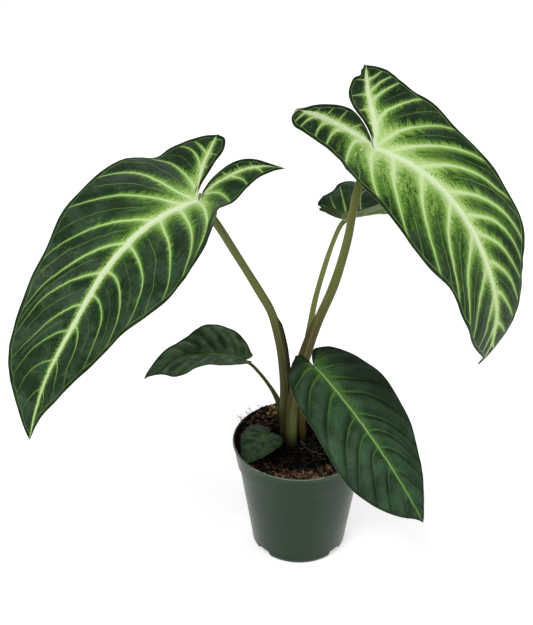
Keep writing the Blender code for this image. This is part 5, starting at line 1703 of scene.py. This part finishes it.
def over_rim(rng):
    """A stray fibre that pokes out over the rim at the back left."""
    angle = math.radians(rng.uniform(124, 154))
    far = rng.uniform(78, 84)
    rise = rng.uniform(139.5, 145.0)
    path = []
    for reach, z in ((66, 0), (71, 137.4), (75.5, 139.0), (0.5 * (75.5 + far), 139.4), (far, rise)):
        x, y = polar(reach, angle)
        path.append((x, y, z or float(soil_height(x, y)) + 0.3))
        angle += math.radians(rng.normal() * 1.6)
    return thread(smooth_curve(path, 5), rng.uniform(0.13, 0.24))


def main_root():
    """The one thick root that lies bare between the stalks and the front."""
    way = smooth_curve([(-1, 10), (4, 3), (11, -9), (17, -13), (24, -17)], 6)
    return thread([(x, y, float(soil_height(x, y)) + 0.6) for x, y in way], 0.42)


def add_bits(name, parts, dark, light, scale, roughness, crease=60.0, shaded=True):
    """One piece made of many small parts."""
    points, faces = [], []
    for part_points, part_faces in parts:
        first = len(points)
        points += [tuple(p) for p in part_points]
        faces += [tuple(v + first for v in f) for f in part_faces]
    fields = {"daylight": daylight(points) if shaded else np.ones(len(points))}
    material = bit_material(name.removeprefix("soil_"), dark, light, scale, roughness)
    goes_with(make_mesh(name, points, faces, [material], crease=crease, fields=fields))


def add_chips(rng):
    """Bark, reddish bark, one broken husk and white specks."""
    add_bits("soil_bark", chips(rng, count=1500, size=(0.7, 3.4), flatness=0.35, place=anywhere),
             dark=(0.007, 0.0044, 0.0026), light=(0.170, 0.100, 0.046), scale=110, roughness=0.8,
             crease=35)
    red = chips(rng, count=90, size=(0.6, 2.4), flatness=0.3, place=anywhere)
    red += chips(rng, count=110, size=(0.5, 2.2), flatness=0.3, place=near_front)
    add_bits("soil_red_bark", red, dark=(0.110, 0.052, 0.034), light=(0.27, 0.140, 0.090),
             scale=200, roughness=0.75, crease=35)
    add_bits("soil_husk", chips(rng, count=30, size=(1.6, 5.0), flatness=0.25, place=near_husk),
             dark=(0.08, 0.045, 0.014), light=(0.30, 0.20, 0.080), scale=160, roughness=0.75,
             crease=35)
    add_bits("soil_specks", chips(rng, count=80, size=(0.3, 0.9), flatness=0.8, place=anywhere),
             dark=(0.30, 0.29, 0.25), light=(0.58, 0.56, 0.50), scale=400, roughness=0.85,
             crease=35)


def add_threads(rng):
    """Fibres all over, strays over the rim, reddish fibres at the front, and pale roots."""
    fibres = lying_threads(rng, count=230, place=anywhere, lengths=(5, 16), radii=(0.10, 0.24))
    add_bits("soil_fibres", fibres + [over_rim(rng) for _ in range(20)],
             dark=(0.075, 0.042, 0.020), light=(0.22, 0.135, 0.070), scale=150, roughness=0.7)
    red = lying_threads(rng, count=46, place=near_front, lengths=(5, 13), radii=(0.18, 0.34))
    add_bits("soil_red_fibres", red, dark=(0.24, 0.112, 0.070), light=(0.56, 0.33, 0.22),
             scale=150, roughness=0.7)
    roots = lying_threads(rng, count=5, place=near_root, lengths=(6, 12), radii=(0.2, 0.3), rise=0.3)
    add_bits("soil_roots", [main_root()] + roots, dark=(0.10, 0.10, 0.085),
             light=(0.22, 0.21, 0.18), scale=200, roughness=0.6, shaded=False)


def dress_soil_bits():
    """All the loose bits, drawn in turn from one seed."""
    rng = np.random.default_rng(BIT_SEED)
    add_chips(rng)
    add_threads(rng)


# Stage

def build_floor():
    """A plain pale floor that glows a little, as in a product picture."""
    far = FLOOR_REACH
    mesh = bpy.data.meshes.new("floor")
    mesh.from_pydata([(-far, -far, 0), (far, -far, 0), (far, far, 0), (-far, far, 0)], [],
                     [(0, 1, 2, 3)])
    s = Shading("floor_paint", FLOOR_WHITE)
    s.feed(WHITE, s.shader.inputs["Emission Color"])
    s.feed(FLOOR_GLOW, s.shader.inputs["Emission Strength"])
    mesh.materials.append(s.finish(1.0, 0.0))
    link_object("floor", mesh)


def build_light():
    """An even white world, and soft lamps from above, the right and the back."""
    world = bpy.data.worlds.new("studio")
    world.use_nodes = True
    background = world.node_tree.nodes["Background"]
    background.inputs["Color"].default_value = (*WHITE, 1.0)
    background.inputs["Strength"].default_value = WORLD_STRENGTH
    bpy.context.scene.world = world
    for name, place, size, power in LIGHTS:
        light = bpy.data.lights.new(name, "AREA")
        light.shape = "RECTANGLE"
        light.size, light.size_y = size
        light.energy = power
        lamp = link_object(name, light)
        lamp.location = place
        aim = Vector(LIGHT_TARGET) - lamp.location
        lamp.rotation_euler = aim.to_track_quat("-Z", "Y").to_euler()


def build_camera():
    """The camera that the photo was taken with, as solved from the pot's rim and outline."""
    camera = bpy.data.cameras.new("photo_camera")
    camera.sensor_fit = "VERTICAL"
    camera.sensor_height = SENSOR_HEIGHT
    camera.lens = SENSOR_HEIGHT / 2 / math.tan(math.radians(CAMERA_VIEW) / 2)
    camera.clip_start = 0.02
    camera.clip_end = 100.0
    thing = link_object("photo_camera", camera)
    thing.location = CAMERA_PLACE
    thing.rotation_euler = (math.radians(90.0 - CAMERA_PITCH), 0.0, 0.0)
    bpy.context.scene.camera = thing


def main():
    for leaf in (left_leaf(), right_leaf(), rear_leaf(), front_leaf(), low_leaf(), small_leaf()):
        dress_blade(leaf)
        dress_stalk(leaf)
    dress_pot()
    dress_soil()
    dress_soil_bits()
    build_floor()
    build_light()
    build_camera()
    bpy.context.scene.view_settings.view_transform = "Standard"
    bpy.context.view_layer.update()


main()
